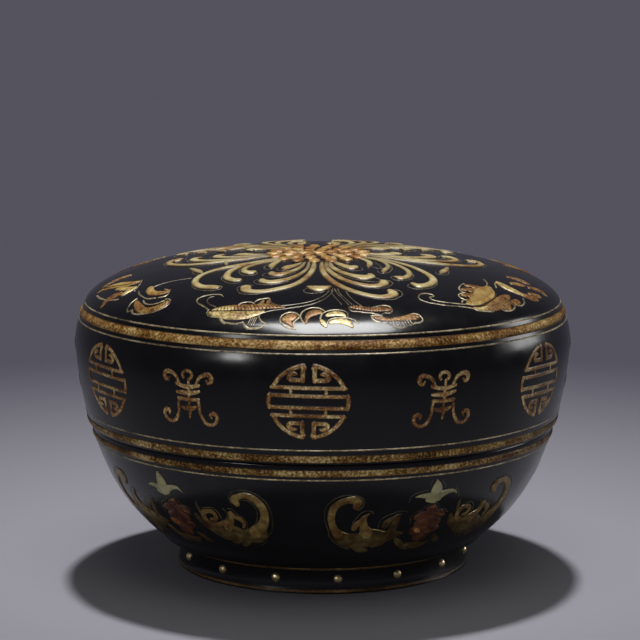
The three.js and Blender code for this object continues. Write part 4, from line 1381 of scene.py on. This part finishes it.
# paper that the lamps light near the box and that fades to the backdrop's own tone far from it
def floorPaper():
    material, nodes, links, shader = newMaterial("floorPaper")
    shader.inputs["Base Color"].default_value = (*stageLook["floorColour"], 1)
    shader.inputs["Roughness"].default_value = stageLook["floorRoughness"]
    shader.inputs["Specular IOR Level"].default_value = stageLook["floorSpecular"]
    backdrop = nodes.new("ShaderNodeEmission")
    backdrop.inputs["Color"].default_value = (*stageLook["backdropColour"], 1)
    place = nodes.new("ShaderNodeTexCoord")
    away = nodes.new("ShaderNodeVectorMath")
    away.operation = "LENGTH"
    links.new(place.outputs["Object"], away.inputs[0])
    fade = nodes.new("ShaderNodeMath")
    fade.operation = "MULTIPLY"
    links.new(mapNode(nodes, links, away.outputs["Value"], 0, 1, *stageLook["backdropSpan"]), fade.inputs[0])
    links.new(seenNode(nodes, links), fade.inputs[1])
    mix = nodes.new("ShaderNodeMixShader")
    links.new(fade.outputs[0], mix.inputs["Fac"])
    links.new(shader.outputs["BSDF"], mix.inputs[1])
    links.new(backdrop.outputs["Emission"], mix.inputs[2])
    links.new(mix.outputs[0], nodes["Material Output"].inputs["Surface"])
    return material


def addFloor():
    bpy.ops.mesh.primitive_circle_add(vertices=stageLook["floorSides"], radius=stageLook["floorRadius"],
                                      fill_type="NGON", location=(0, 0, 0))
    floor = bpy.context.object
    floor.name = "studioFloor"
    floor.data.materials.append(floorPaper())


def addLamp(name, kind, lamp):
    place = Vector(lamp["place"])
    turn = (Vector(stageLook["target"]) - place).to_track_quat("-Z", "Y").to_euler()
    bpy.ops.object.light_add(type=kind, location=place, rotation=turn)
    light = bpy.context.object
    light.name = name
    light.data.energy = lamp["power"]
    return light


# the small lamp above that lights the top and throws the shadow
def addKeySpot(lamp):
    light = addLamp("keySpot", "SPOT", lamp)
    light.data.shadow_soft_size = lamp["radius"]
    light.data.spot_size = math.radians(lamp["cone"])
    light.data.spot_blend = 1
    light.visible_glossy = False


def addSoftbox(name, lamp):
    light = addLamp(name, "AREA", lamp)
    light.data.shape = "RECTANGLE"
    light.data.size, light.data.size_y = lamp["size"]
    light.visible_glossy = lamp["gloss"]
    light.visible_diffuse = not lamp["gloss"]


# the backdrop's tone for what is seen, and a little white light for what is lit
def addSky():
    world = bpy.data.worlds.new("studioSky")
    bpy.context.scene.world = world
    world.use_nodes = True
    nodes, links = world.node_tree.nodes, world.node_tree.links
    nodes.clear()
    output = nodes.new("ShaderNodeOutputWorld")
    seen = nodes.new("ShaderNodeBackground")
    lit = nodes.new("ShaderNodeBackground")
    seen.inputs["Color"].default_value = (*stageLook["backdropColour"], 1)
    seen.inputs["Strength"].default_value = 1
    lit.inputs["Color"].default_value = (1, 1, 1, 1)
    lit.inputs["Strength"].default_value = stageLook["skyLight"]
    mix = nodes.new("ShaderNodeMixShader")
    links.new(seenNode(nodes, links), mix.inputs["Fac"])
    links.new(lit.outputs[0], mix.inputs[1])
    links.new(seen.outputs[0], mix.inputs[2])
    links.new(mix.outputs[0], output.inputs["Surface"])


deselectAll()
addFloor()
addKeySpot(stageLook["keySpot"])
for name, lamp in stageLook["softboxes"].items():
    addSoftbox(name, lamp)
addSky()
bpy.context.scene.view_settings.view_transform = "Standard"
print("stage lit")

deselectAll()
